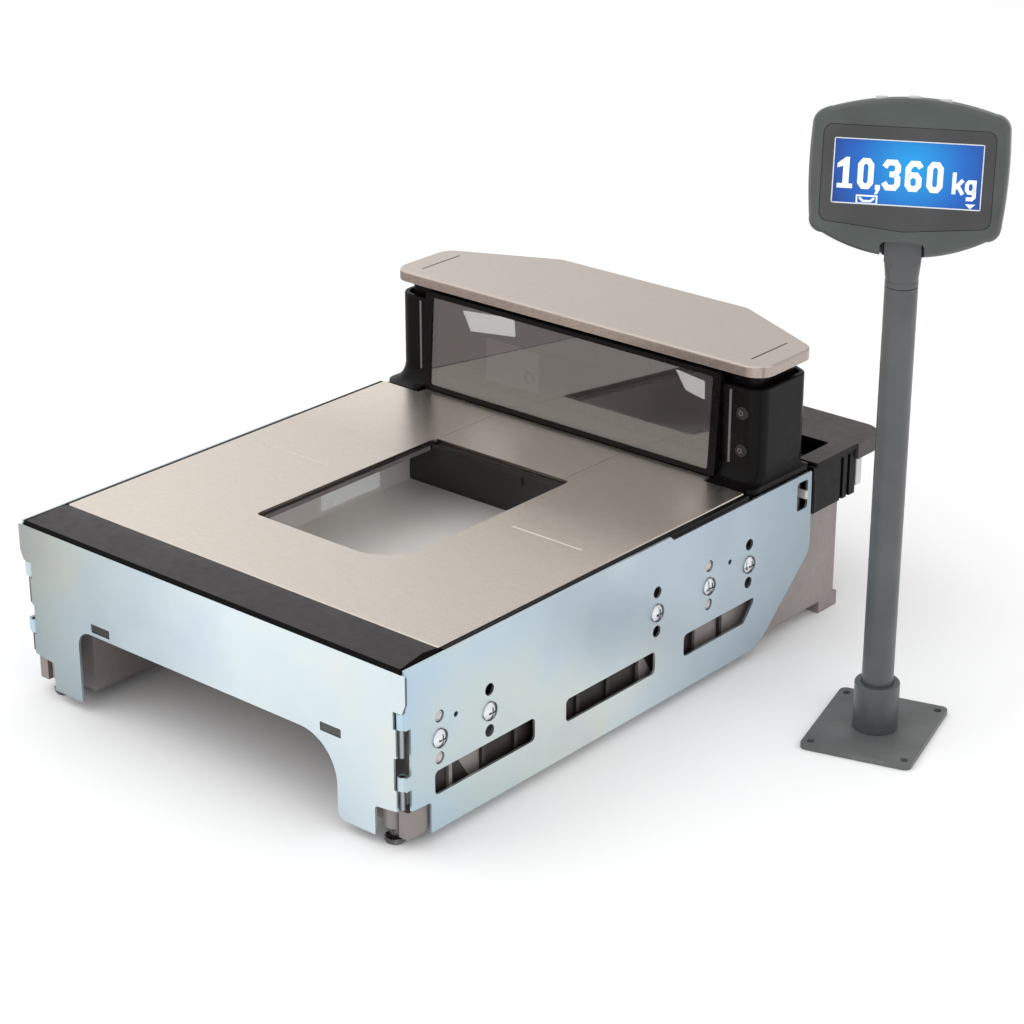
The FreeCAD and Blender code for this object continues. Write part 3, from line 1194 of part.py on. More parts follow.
def pole_base_plate():
    plate = plan(rectangle(-PLATE_X / 2, PLATE_X / 2, -PLATE_Y / 2, PLATE_Y / 2, PLATE_CORNER),
                 0, PLATE_THICKNESS)
    for x in (-PLATE_HOLES[0] / 2, PLATE_HOLES[0] / 2):
        for y in (-PLATE_HOLES[1] / 2, PLATE_HOLES[1] / 2):
            plate = plate.cut(Part.makeCylinder(PLATE_HOLE_RADIUS, PLATE_THICKNESS + 2, vec(x, y, -1)))
    return stand_frame(plate, BASE_TURN)


def pole_collar():
    collar = Part.makeCylinder(COLLAR_RADIUS, COLLAR_TOP - PLATE_THICKNESS, vec(0, 0, PLATE_THICKNESS))
    rim = [e for e in collar.Edges if e.BoundBox.ZMin > COLLAR_TOP - 1e-6]
    collar = collar.makeFillet(1.0, rim)
    collar = collar.cut(Part.makeCylinder(POLE_RADIUS + SLIP_FIT, COLLAR_TOP + 1, vec(0, 0, PLATE_THICKNESS - 1)))
    return stand_frame(collar, BASE_TURN)


def pole_tube():
    tube = Part.makeCylinder(POLE_RADIUS, POLE_TOP - PLATE_THICKNESS, vec(0, 0, PLATE_THICKNESS))
    tube = tube.cut(Part.makeCylinder(POLE_RADIUS - POLE_WALL, POLE_TOP, vec(0, 0, PLATE_THICKNESS - 1)))
    return stand_frame(tube, BASE_TURN)


def pole_neck():
    """Swivel neck: a spigot in the pole, a body that turns from round to flat, a drilled eye."""
    low = POLE_TOP + RUNNING_GAP
    round_wire = Part.Wire(Part.makeCircle(POLE_RADIUS, vec(0, 0, low)))
    seat = Part.Face(round_wire).extrude(vec(0, 0, 3.0))
    def section(width, depth, corner, level):
        corners = rectangle(-width / 2, width / 2, -depth / 2, depth / 2, corner)
        return rounded_wire(corners, lambda p: vec(p.x, p.y, level))
    radius = POLE_RADIUS - 0.2
    lower = section(2 * radius, 2 * radius, radius - 0.05, low + 3.0)
    upper = section(NECK_WIDTH, NECK_DEPTH, 3.0, low + 14.0)
    body = Part.makeLoft([lower, upper], True, True)
    stem = block(-NECK_WIDTH / 2, NECK_WIDTH / 2, -NECK_DEPTH / 2, NECK_DEPTH / 2, low + 14.0, PIVOT_LEVEL)
    eye = rod(NECK_DEPTH / 2, vec(-NECK_WIDTH / 2, 0, PIVOT_LEVEL), vec(1, 0, 0), NECK_WIDTH)
    spigot = Part.makeCylinder(POLE_RADIUS - POLE_WALL - SLIP_FIT, NECK_SPIGOT, vec(0, 0, low - NECK_SPIGOT))
    whole = join([seat, body, stem, eye, spigot])
    whole = whole.cut(rod(PIVOT_RADIUS + SLIP_FIT, vec(-NECK_WIDTH, 0, PIVOT_LEVEL), vec(1, 0, 0), NECK_WIDTH * 2))
    return stand_frame(whole, HEAD_TURN)


def tilt_pin():
    length = 2 * (HEAD_NOTCH_HALF_WIDTH + EAR_THICKNESS)
    pin = rod(PIVOT_RADIUS, vec(-length / 2, 0, PIVOT_LEVEL), vec(1, 0, 0), length)
    return stand_frame(pin, HEAD_TURN)


def head_place(shape):
    """Head pieces are drawn upright about the tilt axis, then tipped back and turned."""
    shape.rotate(vec(0, 0, 0), vec(1, 0, 0), -HEAD_TILT)
    return stand_frame(shape, HEAD_TURN, PIVOT_LEVEL)


def head_wire(inset, y):
    """Bowed outline of the display head seen from the front, with rounded shoulders."""
    half = HEAD_HALF_WIDTH - inset
    top = SCREEN_RISE + HEAD_TOP - inset
    top_corner = SCREEN_RISE + HEAD_TOP_CORNER - inset
    low_corner = SCREEN_RISE - HEAD_BOTTOM_CORNER + inset
    bottom = SCREEN_RISE - HEAD_BOTTOM + inset
    shoulder = HEAD_SHOULDER - inset
    soft = 5.0

    def at(x, z):
        return vec(x, y, z)

    edges = [
        Part.Arc(at(-shoulder + soft, top_corner), at(0, top), at(shoulder - soft, top_corner)).toShape(),
        Part.Arc(at(shoulder - soft, top_corner), at(shoulder + 0.4, top_corner - 2.4),
                 at(half, top_corner - 8)).toShape(),
        Part.Arc(at(half, top_corner - 8), at(half + 0.6, SCREEN_RISE), at(half - 1, low_corner + 8)).toShape(),
        Part.Arc(at(half - 1, low_corner + 8), at(shoulder + 0.2, low_corner + 2.4),
                 at(shoulder - soft, low_corner)).toShape(),
        Part.Arc(at(shoulder - soft, low_corner), at(0, bottom), at(-shoulder + soft, low_corner)).toShape(),
        Part.Arc(at(-shoulder + soft, low_corner), at(-shoulder - 0.2, low_corner + 2.4),
                 at(-half + 1, low_corner + 8)).toShape(),
        Part.Arc(at(-half + 1, low_corner + 8), at(-half - 0.6, SCREEN_RISE), at(-half, top_corner - 8)).toShape(),
        Part.Arc(at(-half, top_corner - 8), at(-shoulder - 0.4, top_corner - 2.4),
                 at(-shoulder + soft, top_corner)).toShape(),
    ]
    return Part.Wire(edges)


def head_slice(inset, near, far):
    return Part.Face(head_wire(inset, near)).extrude(vec(0, far - near, 0))


def head_notch(top):
    """Opening in the middle of the head's lower edge that clears the neck."""
    half = HEAD_NOTCH_HALF_WIDTH
    return elevation([(-half, -40, 0), (half, -40, 0), (half, top, 3.0), (-half, top, 3.0)],
                     -SCREEN_FORWARD - 10, HEAD_BACK + 10)


def face_outline(grow, y):
    half = FACE_HALF_WIDTH + grow
    top = SCREEN_RISE + FACE_TOP + grow
    low = SCREEN_RISE - FACE_BOTTOM - grow
    return rounded_wire([(-half, low, FACE_CORNER), (0, low - FACE_BOW, 0), (half, low, FACE_CORNER),
                         (half, top, FACE_CORNER), (-half, top, FACE_CORNER)], lambda p: vec(p.x, y, p.y))


def head_front_shell():
    """Front half of the display head, hollow, with a seat for the face plate."""
    near = -SCREEN_FORWARD
    sections = []
    for turn in (0, 30, 60, 90):
        angle = math.radians(turn)
        sections.append(head_wire(HEAD_ROLL_INSET * (1 - math.sin(angle)),
                                  near + HEAD_ROLL_DEPTH * (1 - math.cos(angle))))
    body = Part.makeLoft(sections, True, True)
    body = join([body, head_slice(0, near + HEAD_ROLL_DEPTH, 0.0)])
    body = body.cut(head_slice(HEAD_WALL, near + HEAD_WALL, 1.0))
    seat = Part.Face(face_outline(0.15, near - 1)).extrude(vec(0, 1 + FACE_THICKNESS, 0))
    screen = elevation(rectangle(-SCREEN_WIDTH / 2 - LCD_BORDER - 0.3, SCREEN_WIDTH / 2 + LCD_BORDER + 0.3,
                                 SCREEN_RISE - SCREEN_HEIGHT / 2 - LCD_BORDER - 0.3 - SCREEN_CENTRE_DROP,
                                 SCREEN_RISE + SCREEN_HEIGHT / 2 + LCD_BORDER + 0.3 - SCREEN_CENTRE_DROP, 1.0),
                       near - 1, near + 8)
    ear_half = HEAD_NOTCH_HALF_WIDTH + EAR_THICKNESS + RUNNING_GAP
    ear_room = block(-ear_half, ear_half, -NECK_DEPTH / 2 - EAR_REACH - RUNNING_GAP, 1,
                     SCREEN_RISE - HEAD_BOTTOM - 1, NECK_POCKET_TOP + POCKET_ROOF + RUNNING_GAP)
    body = body.cut(seat).cut(screen).cut(head_notch(SCREEN_RISE - HEAD_NOTCH_DROP)).cut(ear_room)
    for x in DISPLAY_KEYS.values():
        body = body.cut(display_key_pocket(x))
    return head_place(body)


def display_key_pocket(x):
    low = SCREEN_RISE + HEAD_TOP - HEAD_WALL - 3
    return rod(DISPLAY_KEY_RADIUS + DISPLAY_KEY_GAP, vec(x, -DISPLAY_KEY_AT, low), vec(0, 0, 1), HEAD_WALL + 6)


def display_key(x):
    """Key in the head's upper edge; its flange under the shell keeps it in."""
    reach = DISPLAY_KEY_RADIUS + DISPLAY_KEY_LAP
    top = SCREEN_RISE + HEAD_TOP + DISPLAY_KEY_PROUD - abs(x) * DISPLAY_KEY_SLOPE
    low = top - DISPLAY_KEY_HEIGHT - DISPLAY_KEY_PROUD
    cap = rod(DISPLAY_KEY_RADIUS, vec(x, -DISPLAY_KEY_AT, low), vec(0, 0, 1), top - low)
    rim = [e for e in cap.Edges if e.BoundBox.ZMin > top - 1e-6]
    cap = cap.makeFillet(DISPLAY_KEY_ROUND, rim)
    flange = block(x - reach, x + reach, -DISPLAY_KEY_AT - reach, -DISPLAY_KEY_AT + DISPLAY_KEY_RADIUS,
                   low, low + DISPLAY_KEY_FLANGE)
    return head_place(join([cap, flange]))


def head_rear_shell():
    """Rear half of the head, drawn in towards its back, with the two ears of the tilt hinge."""
    body = join([head_slice(0, 0.2, HEAD_BACK - 5.0),
                 Part.makeLoft([head_wire(0, HEAD_BACK - 5.0), head_wire(4.0, HEAD_BACK)], True, True)])
    body = body.cut(head_slice(HEAD_WALL, -1.0, HEAD_BACK - HEAD_WALL - 2.5))
    body = body.cut(head_notch(NECK_POCKET_TOP))
    half = HEAD_NOTCH_HALF_WIDTH
    top = NECK_POCKET_TOP
    ears = []
    reach = NECK_DEPTH / 2 + EAR_REACH
    for x in (-half - EAR_THICKNESS, half):
        ear = side_view([(-reach, -PIVOT_RADIUS - 3, 3.0), (HEAD_BACK - 3, -PIVOT_RADIUS - 3, 0),
                         (HEAD_BACK - 3, top + POCKET_ROOF, 0), (-reach, top + POCKET_ROOF, 1.0)],
                        x, x + EAR_THICKNESS)
        ears.append(ear)
    roof = block(-half - EAR_THICKNESS, half + EAR_THICKNESS, -reach, HEAD_BACK - 3, top, top + POCKET_ROOF)
    body = join([body, roof] + ears)
    body = body.cut(rod(PIVOT_RADIUS + SLIP_FIT, vec(-40, 0, 0), vec(1, 0, 0), 80))
    return head_place(body)


def face_plate():
    near = -SCREEN_FORWARD
    plate = Part.Face(face_outline(0.0, near + 0.1)).extrude(vec(0, FACE_THICKNESS - 0.1, 0))
    middle = SCREEN_RISE - SCREEN_CENTRE_DROP
    hole = elevation(rectangle(-SCREEN_WIDTH / 2, SCREEN_WIDTH / 2, middle - SCREEN_HEIGHT / 2,
                               middle + SCREEN_HEIGHT / 2, 0.8), near - 1, near + 5)
    return head_place(plate.cut(hole))


def lcd_panel():
    near = -SCREEN_FORWARD + FACE_THICKNESS
    middle = SCREEN_RISE - SCREEN_CENTRE_DROP
    w = SCREEN_WIDTH / 2 + LCD_BORDER
    h = SCREEN_HEIGHT / 2 + LCD_BORDER
    return head_place(block(-w, w, near, near + LCD_THICKNESS, middle - h, middle + h))


def display_board():
    near = -SCREEN_FORWARD + FACE_THICKNESS + LCD_THICKNESS
    middle = SCREEN_RISE
    board = block(-HEAD_HALF_WIDTH + 6, HEAD_HALF_WIDTH - 6, near, near + BOARD_THICKNESS,
                  middle - SCREEN_HEIGHT / 2 - 3, middle + SCREEN_HEIGHT / 2 + 4)
    return head_place(board)


def build():
    os.makedirs("parts", exist_ok=True)
    save("front_panel", front_panel())
    panel = side_panel()
    save("right_side_panel", panel)
    save("left_side_panel", flipped(panel))
    save("corner_pins", corner_pins())
    save("panel_screws", panel_screws())
    save("base_casting", base_casting())
    foot = levelling_foot()
    save("right_levelling_foot", foot)
    save("left_levelling_foot", flipped(foot))
    save("front_bezel", front_bezel())
    rail = side_rail()
    save("right_side_rail", rail)
    save("left_side_rail", flipped(rail))
    save("platter", platter())
    save("centre_plate", centre_plate())
    save("platter_glass", platter_glass())
    save("platter_frame", platter_frame())
    save("weigh_carrier", weigh_carrier())
    save("platter_pads", platter_pads())
    save("load_cells", load_cells())
    save("optics_tub", optics_tub())
    save("optics_bench", optics_bench())
    save("scan_mirrors", scan_mirrors())
    save("polygon_motor", polygon_motor())
    save("polygon_mirror", polygon_mirror())
    save("laser_module", laser_module())
    save("tower_housing", tower_housing())
    save("tower_window_frame", tower_window_frame())
    save("tower_glass", tower_glass())
    save("cover_gasket", cover_gasket())
    save("tower_cover", tower_cover())
    save("status_lenses", status_lenses())
    for node, level in KEY_LEVELS.items():
        save(node, tower_key(level))
    save("key_board", key_board())
    save("rear_housing", rear_housing())
    save("rear_deck", rear_deck())
    save("data_sockets", data_sockets())
    save("power_socket", power_socket())
    save("main_board", main_board())
    save("speaker", speaker())
    save("latch_pegs", latch_pegs())
    save("pole_base_plate", pole_base_plate())
    save("pole_collar", pole_collar())
    save("pole_tube", pole_tube())
    save("pole_neck", pole_neck())
    save("tilt_pin", tilt_pin())
    save("head_front_shell", head_front_shell())
    save("head_rear_shell", head_rear_shell())
    save("face_plate", face_plate())
    save("lcd_panel", lcd_panel())
    save("display_board", display_board())
    for name, x in DISPLAY_KEYS.items():
        save(name + "_display_button", display_key(x))


build()
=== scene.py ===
import bpy
import json
import math
from mathutils import Matrix, Vector

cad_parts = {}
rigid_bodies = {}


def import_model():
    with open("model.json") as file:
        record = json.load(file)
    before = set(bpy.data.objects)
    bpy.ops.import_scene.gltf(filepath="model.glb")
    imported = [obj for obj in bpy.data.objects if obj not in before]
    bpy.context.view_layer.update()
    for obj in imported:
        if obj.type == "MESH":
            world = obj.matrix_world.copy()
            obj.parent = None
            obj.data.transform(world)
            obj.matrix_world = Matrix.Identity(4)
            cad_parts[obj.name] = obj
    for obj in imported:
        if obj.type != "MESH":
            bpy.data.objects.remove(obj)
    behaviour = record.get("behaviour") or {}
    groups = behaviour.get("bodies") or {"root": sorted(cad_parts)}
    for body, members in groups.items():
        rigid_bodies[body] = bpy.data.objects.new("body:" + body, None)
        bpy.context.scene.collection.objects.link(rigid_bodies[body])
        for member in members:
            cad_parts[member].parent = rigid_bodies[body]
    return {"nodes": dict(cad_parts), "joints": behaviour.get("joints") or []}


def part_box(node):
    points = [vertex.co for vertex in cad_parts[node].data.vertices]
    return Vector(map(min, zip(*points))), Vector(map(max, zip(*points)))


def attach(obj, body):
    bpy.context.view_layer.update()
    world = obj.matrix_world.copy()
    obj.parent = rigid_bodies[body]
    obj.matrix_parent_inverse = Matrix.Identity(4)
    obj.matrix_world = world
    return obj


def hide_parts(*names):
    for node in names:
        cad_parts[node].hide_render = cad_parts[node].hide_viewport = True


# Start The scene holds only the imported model, in metres, with nothing
# selected.
bpy.ops.object.select_all(action="SELECT")
bpy.ops.object.delete()
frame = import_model()
bpy.ops.object.select_all(action="DESELECT")
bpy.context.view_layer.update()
scene = bpy.context.scene


# Base casting
# A grey pressure casting that everything is screwed to, seen through the slots,
# under the front corners and as a block below the connector bay. Cast, then fettled.
def tone(red, green, blue):
    """Linear colour of a colour given in the usual 0 to 255 steps."""
    return tuple((c / 255.0 / 12.92) if c <= 10 else ((c / 255.0 + 0.055) / 1.055) ** 2.4
                 for c in (red, green, blue)) + (1.0,)


def finish_of(name, colour, metal, rough, more=()):
    """A new material with its plain values on the shader's own sockets."""
    made = bpy.data.materials.new(name)
    made.use_nodes = True
    shader = made.node_tree.nodes["Principled BSDF"]
    plain = (("Base Color", colour), ("Metallic", metal), ("Roughness", rough)) + tuple(more)
    for socket, value in plain:
        shader.inputs[socket].default_value = value
    return made


def pattern(made, scale, stretch=(1, 1, 1), detail=3.0):
    """Noise over the piece's own coordinates, stretched along an axis for a brushed grain."""
    tree = made.node_tree
    place = tree.nodes.new("ShaderNodeTexCoord")
    mapping = tree.nodes.new("ShaderNodeMapping")
    mapping.inputs["Scale"].default_value = stretch
    noise = tree.nodes.new("ShaderNodeTexNoise")
    noise.inputs["Scale"].default_value = scale
    noise.inputs["Detail"].default_value = detail
    tree.links.new(place.outputs["Object"], mapping.inputs["Vector"])
    tree.links.new(mapping.outputs["Vector"], noise.inputs["Vector"])
    return noise.outputs["Fac"]


def roughen(made, value, low, high):
    """Sends a 0 to 1 pattern to the roughness as a range."""
    tree = made.node_tree
    reach = tree.nodes.new("ShaderNodeMapRange")
    reach.inputs["From Min"].default_value = 0.3
    reach.inputs["From Max"].default_value = 0.7
    reach.inputs["To Min"].default_value = low
    reach.inputs["To Max"].default_value = high
    tree.links.new(value, reach.inputs["Value"])
    tree.links.new(reach.outputs["Result"], tree.nodes["Principled BSDF"].inputs["Roughness"])


def tints(made, value, stops):
    """Colour stops (place, colour) over a 0 to 1 pattern."""
    ramp = made.node_tree.nodes.new("ShaderNodeValToRGB")
    ramp.color_ramp.elements[0].position = stops[0][0]
    ramp.color_ramp.elements[0].color = stops[0][1]
    ramp.color_ramp.elements[1].position = stops[-1][0]
    ramp.color_ramp.elements[1].color = stops[-1][1]
    for position, colour in stops[1:-1]:
        ramp.color_ramp.elements.new(position).color = colour
    made.node_tree.links.new(value, ramp.inputs["Fac"])
    return ramp.outputs["Color"]


def paint(made, colour):
    """Sends a colour pattern to the base colour."""
    tree = made.node_tree
    tree.links.new(colour, tree.nodes["Principled BSDF"].inputs["Base Color"])


def clouded(made, scale, stops, detail=3.0):
    """Colours a material by soft clouds, given as colour stops."""
    paint(made, tints(made, pattern(made, scale, detail=detail), stops))


def relief(made, value, strength, depth):
    """Raises the surface a little where a pattern is high."""
    tree = made.node_tree
    bump = tree.nodes.new("ShaderNodeBump")
    bump.inputs["Strength"].default_value = strength
    bump.inputs["Distance"].default_value = depth
    tree.links.new(value, bump.inputs["Height"])
    tree.links.new(bump.outputs["Normal"], tree.nodes["Principled BSDF"].inputs["Normal"])


def dress(finish, *nodes):
    """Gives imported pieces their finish."""
    for name in nodes:
        piece = frame["nodes"][name]
        piece.data.materials.clear()
        piece.data.materials.append(finish)


def picked(name, mesh):
    """A new object of a mesh, as the only one selected."""
    piece = bpy.data.objects.new(name, mesh)
    scene.collection.objects.link(piece)
    bpy.ops.object.select_all(action="DESELECT")
    piece.select_set(True)
    bpy.context.view_layer.objects.active = piece
    return piece


def settled(piece, finish, body):
    """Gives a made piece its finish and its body."""
    piece.data.materials.clear()
    piece.data.materials.append(finish)
    piece.select_set(False)
    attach(piece, body)


SAME_POINT = 2e-6
SAME_PLANE = math.radians(0.6)
EDGE_FROM = math.radians(32)
CURVE_UP_TO = math.radians(38)


def eased(name, finish, width, body="base"):
    """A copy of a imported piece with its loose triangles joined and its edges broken, as made."""
    piece = picked(name + "_eased", frame["nodes"][name].data.copy())
    bpy.ops.object.mode_set(mode="EDIT")
    bpy.ops.mesh.select_all(action="SELECT")
    bpy.ops.mesh.remove_doubles(threshold=SAME_POINT)
    bpy.ops.mesh.dissolve_limited(angle_limit=SAME_PLANE)
    bpy.ops.object.mode_set(mode="OBJECT")
    bevel = piece.modifiers.new("edge", "BEVEL")
    bevel.width = width
    bevel.segments = 2
    bevel.limit_method = "ANGLE"
    bevel.angle_limit = EDGE_FROM
    bevel.miter_outer = "MITER_ARC"
    bpy.ops.object.modifier_apply(modifier="edge")
    bpy.ops.object.shade_smooth_by_angle(angle=CURVE_UP_TO)
    weigh = piece.modifiers.new("shading", "WEIGHTED_NORMAL")
    weigh.keep_sharp = True
    bpy.ops.object.modifier_apply(modifier="shading")
    settled(piece, finish, body)
    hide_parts(name)
    return piece


def second_finish(piece, finish, belongs):
    """Gives the faces that belongs(centre, normal) picks another finish."""
    piece.data.materials.append(finish)
    for face in piece.data.polygons:
        if belongs(face.center, face.normal):
            face.material_index = len(piece.data.materials) - 1


cast_metal = finish_of("cast_metal", tone(146, 138, 135), 0.35, 0.5)
clouded(cast_metal, 38.0, [
    (0.32, tone(139, 131, 128)), (0.5, tone(144, 136, 133)), (0.7, tone(149, 141, 138))], detail=5.0)
roughen(cast_metal, pattern(cast_metal, 220.0), 0.38, 0.6)
relief(cast_metal, pattern(cast_metal, 900.0), 0.25, 0.0004)
# A dark copy of the cast metal for the casting's side walls behind the slots: painted shade in the
# recess.
cast_slot_painted_shade = finish_of("cast_slot_painted_shade", tone(46, 40, 39), 0.2, 0.5)
clouded(cast_slot_painted_shade, 30.0, [(0.35, tone(36, 31, 30)), (0.65, tone(58, 51, 49))])
relief(cast_slot_painted_shade, pattern(cast_slot_painted_shade, 900.0), 0.25, 0.0004)
casting = eased("base_casting", cast_metal, 0.0006)
SLOT_FRONT, SLOT_REAR = -0.128, 0.118
SLOT_DEPTH_AT = 0.1355
SLOT_LEVEL = 0.05
second_finish(casting, cast_slot_painted_shade, lambda c, n: (
    abs(c.x) > SLOT_DEPTH_AT and c.z < SLOT_LEVEL and SLOT_FRONT < c.y < SLOT_REAR))


# Skirt panels
# Cold-rolled sheet, laser cut and folded, then zinc plated and blue passivated:
# a pale sheen that drifts between blue-green, straw and faint pink.
def slope_along(made, along):
    """0 to 1 over a piece: from a start, over a length, in X turned about Z."""
    start, length, turn = along
    tree = made.node_tree
    place = tree.nodes.new("ShaderNodeTexCoord")
    mapping = tree.nodes.new("ShaderNodeMapping")
    mapping.inputs["Scale"].default_value = (1 / length,) * 3
    mapping.inputs["Rotation"].default_value = (0, 0, turn)
    mapping.inputs["Location"].default_value = (-start / length, 0, 0)
    slope = tree.nodes.new("ShaderNodeTexGradient")
    tree.links.new(place.outputs["Object"], mapping.inputs["Vector"])
    tree.links.new(mapping.outputs["Vector"], slope.inputs["Vector"])
    return slope.outputs["Fac"]


def painted_light_along(made, colour, along, stops):
    """Multiplies a colour by a slow change along the piece, given as stops of colour: painted light and
    shade.
    """
    tree = made.node_tree
    shade = tints(made, slope_along(made, along), [(at, factor + (1,)) for at, factor in stops])
    mix = tree.nodes.new("ShaderNodeMix")
    mix.data_type = "RGBA"
    mix.blend_type = "MULTIPLY"
    mix.inputs["Factor"].default_value = 1.0
    tree.links.new(colour, mix.inputs["A"])
    tree.links.new(shade, mix.inputs["B"])
    return mix.outputs["Result"]


def plated(name, along, stops, grain=26.0, rough=(0.34, 0.44)):
    """Zinc plate with painted shade along the piece from the stops, and the cloudy passivation over it.
    """
    made = finish_of(name, tone(205, 220, 224), 0.9, 0.4)
    clouds = tints(made, pattern(made, 9.0, detail=4.0), [
        (0.28, tone(203, 215, 227)), (0.42, tone(213, 227, 236)), (0.55, tone(220, 232, 236)),
        (0.66, tone(230, 235, 226)), (0.78, tone(224, 223, 226))])
    paint(made, painted_light_along(made, clouds, along, stops))
    roughen(made, pattern(made, grain), *rough)
    relief(made, pattern(made, 1400.0, stretch=(1, 1, 0.2)), 0.08, 0.0002)
    return made


def even(red, green, blue):
    """The same factor of colour all along."""
    return [(0.0, (red, green, blue)), (1.0, (red, green, blue))]


LEFT_TO_RIGHT = (-0.146, 0.292, 0.0)
FRONT_TO_REAR = (-0.178, 0.356, -math.pi / 2)
PANEL_EDGE_LEVEL = 0.09
PANEL_END_AT = 0.143
# Painted shade: the front panel is painted darker towards its left end, the side panels a little darker
# at the front and much darker at the rear.
front_zinc = plated("front_zinc", LEFT_TO_RIGHT, [
    (0.0, (0.44, 0.46, 0.46)), (0.3, (0.74, 0.75, 0.74)), (0.6, (1.0, 1.0, 1.0)),
    (1.0, (0.97, 0.96, 0.95))])
side_zinc = plated("side_zinc", FRONT_TO_REAR, [
    (0.0, (0.70, 0.79, 0.88)), (0.5, (0.98, 0.98, 0.99)), (1.0, (0.49, 0.52, 0.55))])
edge_pale = plated("edge_pale", LEFT_TO_RIGHT, even(1.0, 1.0, 1.0), grain=200.0, rough=(0.1, 0.2))
edge_shade = plated("edge_shade", LEFT_TO_RIGHT, even(0.2, 0.2, 0.21))
for panel, zinc in (("front_panel", front_zinc), ("right_side_panel", side_zinc),
                    ("left_side_panel", side_zinc)):
    sheet = eased(panel, zinc, 0.0002)
    second_finish(sheet, edge_pale, lambda c, n: n.z > 0.5 and c.z > PANEL_EDGE_LEVEL)
    if panel == "front_panel":
        second_finish(sheet, edge_shade, lambda c, n: (
            abs(n.x) > 0.3 and abs(c.x) > PANEL_END_AT and n.z < 0.5))


# Pins, screws and feet
# Bright plated steel: ground pins in the knuckles, domed cross-recess screws, clinch studs
# seen in some of the holes, and knurled feet on screwed stems.
def steel_with_painted_reflection(name, stops):
    """Bright steel with a painted reflection: its colour darkens where the surface turns away from the
    view, as small round parts do in a pale room.
    """
    made = finish_of(name, stops[0][1], 1.0, 0.2)
    weight = made.node_tree.nodes.new("ShaderNodeLayerWeight")
    weight.inputs["Blend"].default_value = 0.5
    paint(made, tints(made, weight.outputs["Facing"], stops))
    roughen(made, pattern(made, 500.0), 0.12, 0.24)
    return made


def turned(name, profile, centre, axis, finish, body="base"):
    """A turned piece: a profile of (radius, height) spun about an axis through its centre."""
    steps = 32
    angles = [2 * math.pi * step / steps for step in range(steps)]
    points = [(radius * math.cos(angle), radius * math.sin(angle), height)
              for radius, height in profile for angle in angles]
    faces = [tuple(range(steps)), tuple(range(len(points) - steps, len(points)))]
    for first in range(0, len(points) - steps, steps):
        for step in range(steps):
            after = (step + 1) % steps
            faces.append((first + step, first + after, first + steps + after, first + steps + step))
    mesh = bpy.data.meshes.new(name)
    mesh.from_pydata(points, [], faces)
    facing = Vector(axis).to_track_quat("Z", "Y").to_matrix().to_4x4()
    mesh.transform(Matrix.Translation(centre) @ facing)
    piece = picked(name, mesh)
    bpy.ops.object.mode_set(mode="EDIT")
    bpy.ops.mesh.select_all(action="SELECT")
    bpy.ops.mesh.normals_make_consistent(inside=False)
    bpy.ops.object.mode_set(mode="OBJECT")
    bpy.ops.object.shade_smooth_by_angle(angle=math.radians(30))
    settled(piece, finish, body)


# Painted reflection: screws and pins are painted bright where they face the view and dark towards their
# rims.
screw_painted_reflection = steel_with_painted_reflection("screw_painted_reflection", [
    (0.0, tone(232, 234, 237)), (0.38, tone(222, 224, 228)), (0.47, tone(120, 121, 126)),
    (0.52, tone(50, 50, 54)), (0.78, tone(44, 44, 48)), (0.9, tone(140, 142, 146))])
pin_painted_reflection = steel_with_painted_reflection("pin_painted_reflection", [
    (0.0, tone(186, 190, 194)), (0.16, tone(160, 164, 168)), (0.3, tone(92, 94, 98)),
    (1.0, tone(44, 44, 48))])
eased("panel_screws", screw_painted_reflection, 0.0002)
eased("corner_pins", pin_painted_reflection, 0.0003)
stud_bright = finish_of("stud_bright", tone(206, 200, 196), 0.9, 0.32)
roughen(stud_bright, pattern(stud_bright, 700.0), 0.24, 0.4)
STUD = [(0.0031, 0.0), (0.0031, 0.0048), (0.0028, 0.0051), (0.0023, 0.0051),
        (0.0020, 0.0047), (0.0004, 0.0045)]
STUD_ROOT = 0.1400
STUD_POINTS = ((-0.1510, 0.0712), (-0.1510, 0.0472), (0.0776, 0.0757), (0.0776, 0.0517))
for side, sign in (("right", 1), ("left", -1)):
    for number, (at, level) in enumerate(STUD_POINTS, 1):
        turned("%s_stud_%d" % (side, number), STUD, Vector((sign * STUD_ROOT, at, level)), (sign, 0, 0),
               stud_bright)
dark_steel = finish_of("foot_steel", tone(96, 92, 92), 1.0, 0.3)
roughen(dark_steel, pattern(dark_steel, 420.0), 0.2, 0.42)
clouded(dark_steel, 160.0, [(0.35, tone(66, 62, 62)), (0.65, tone(150, 146, 146))])
eased("right_levelling_foot", dark_steel, 0.0002, body="right_foot")
eased("left_levelling_foot", dark_steel, 0.0002, body="left_foot")


# Optics
# A satin grey tub with the scan mirrors on its walls, the spinning mirror wheel on its
# motor, the laser module and the black bench that closes the tub at the rear.
def own_light(colour, strength):
    """The shader values of a piece that gives a little light itself."""
    return ("Emission Color", colour), ("Emission Strength", strength)


tub_grey = finish_of("tub_moulding", tone(249, 244, 239), 0.0, 0.34)
clouded(tub_grey, 14.0, [(0.35, tone(246, 240, 235)), (0.65, tone(252, 248, 244))])
relief(tub_grey, pattern(tub_grey, 1500.0), 0.06, 0.0002)
eased("optics_tub", tub_grey, 0.0006)
bench_black = finish_of("bench_black", tone(22, 21, 21), 0.0, 0.16)
roughen(bench_black, pattern(bench_black, 40.0), 0.12, 0.2)
relief(bench_black, pattern(bench_black, 1200.0), 0.02, 0.0001)
eased("optics_bench", bench_black, 0.0004)
dress(bench_black, "polygon_motor", "laser_module")
silvered = finish_of("silvered_glass", tone(236, 239, 237), 0.7, 0.14)
roughen(silvered, pattern(silvered, 60.0), 0.08, 0.2)
dress(silvered, "polygon_mirror")
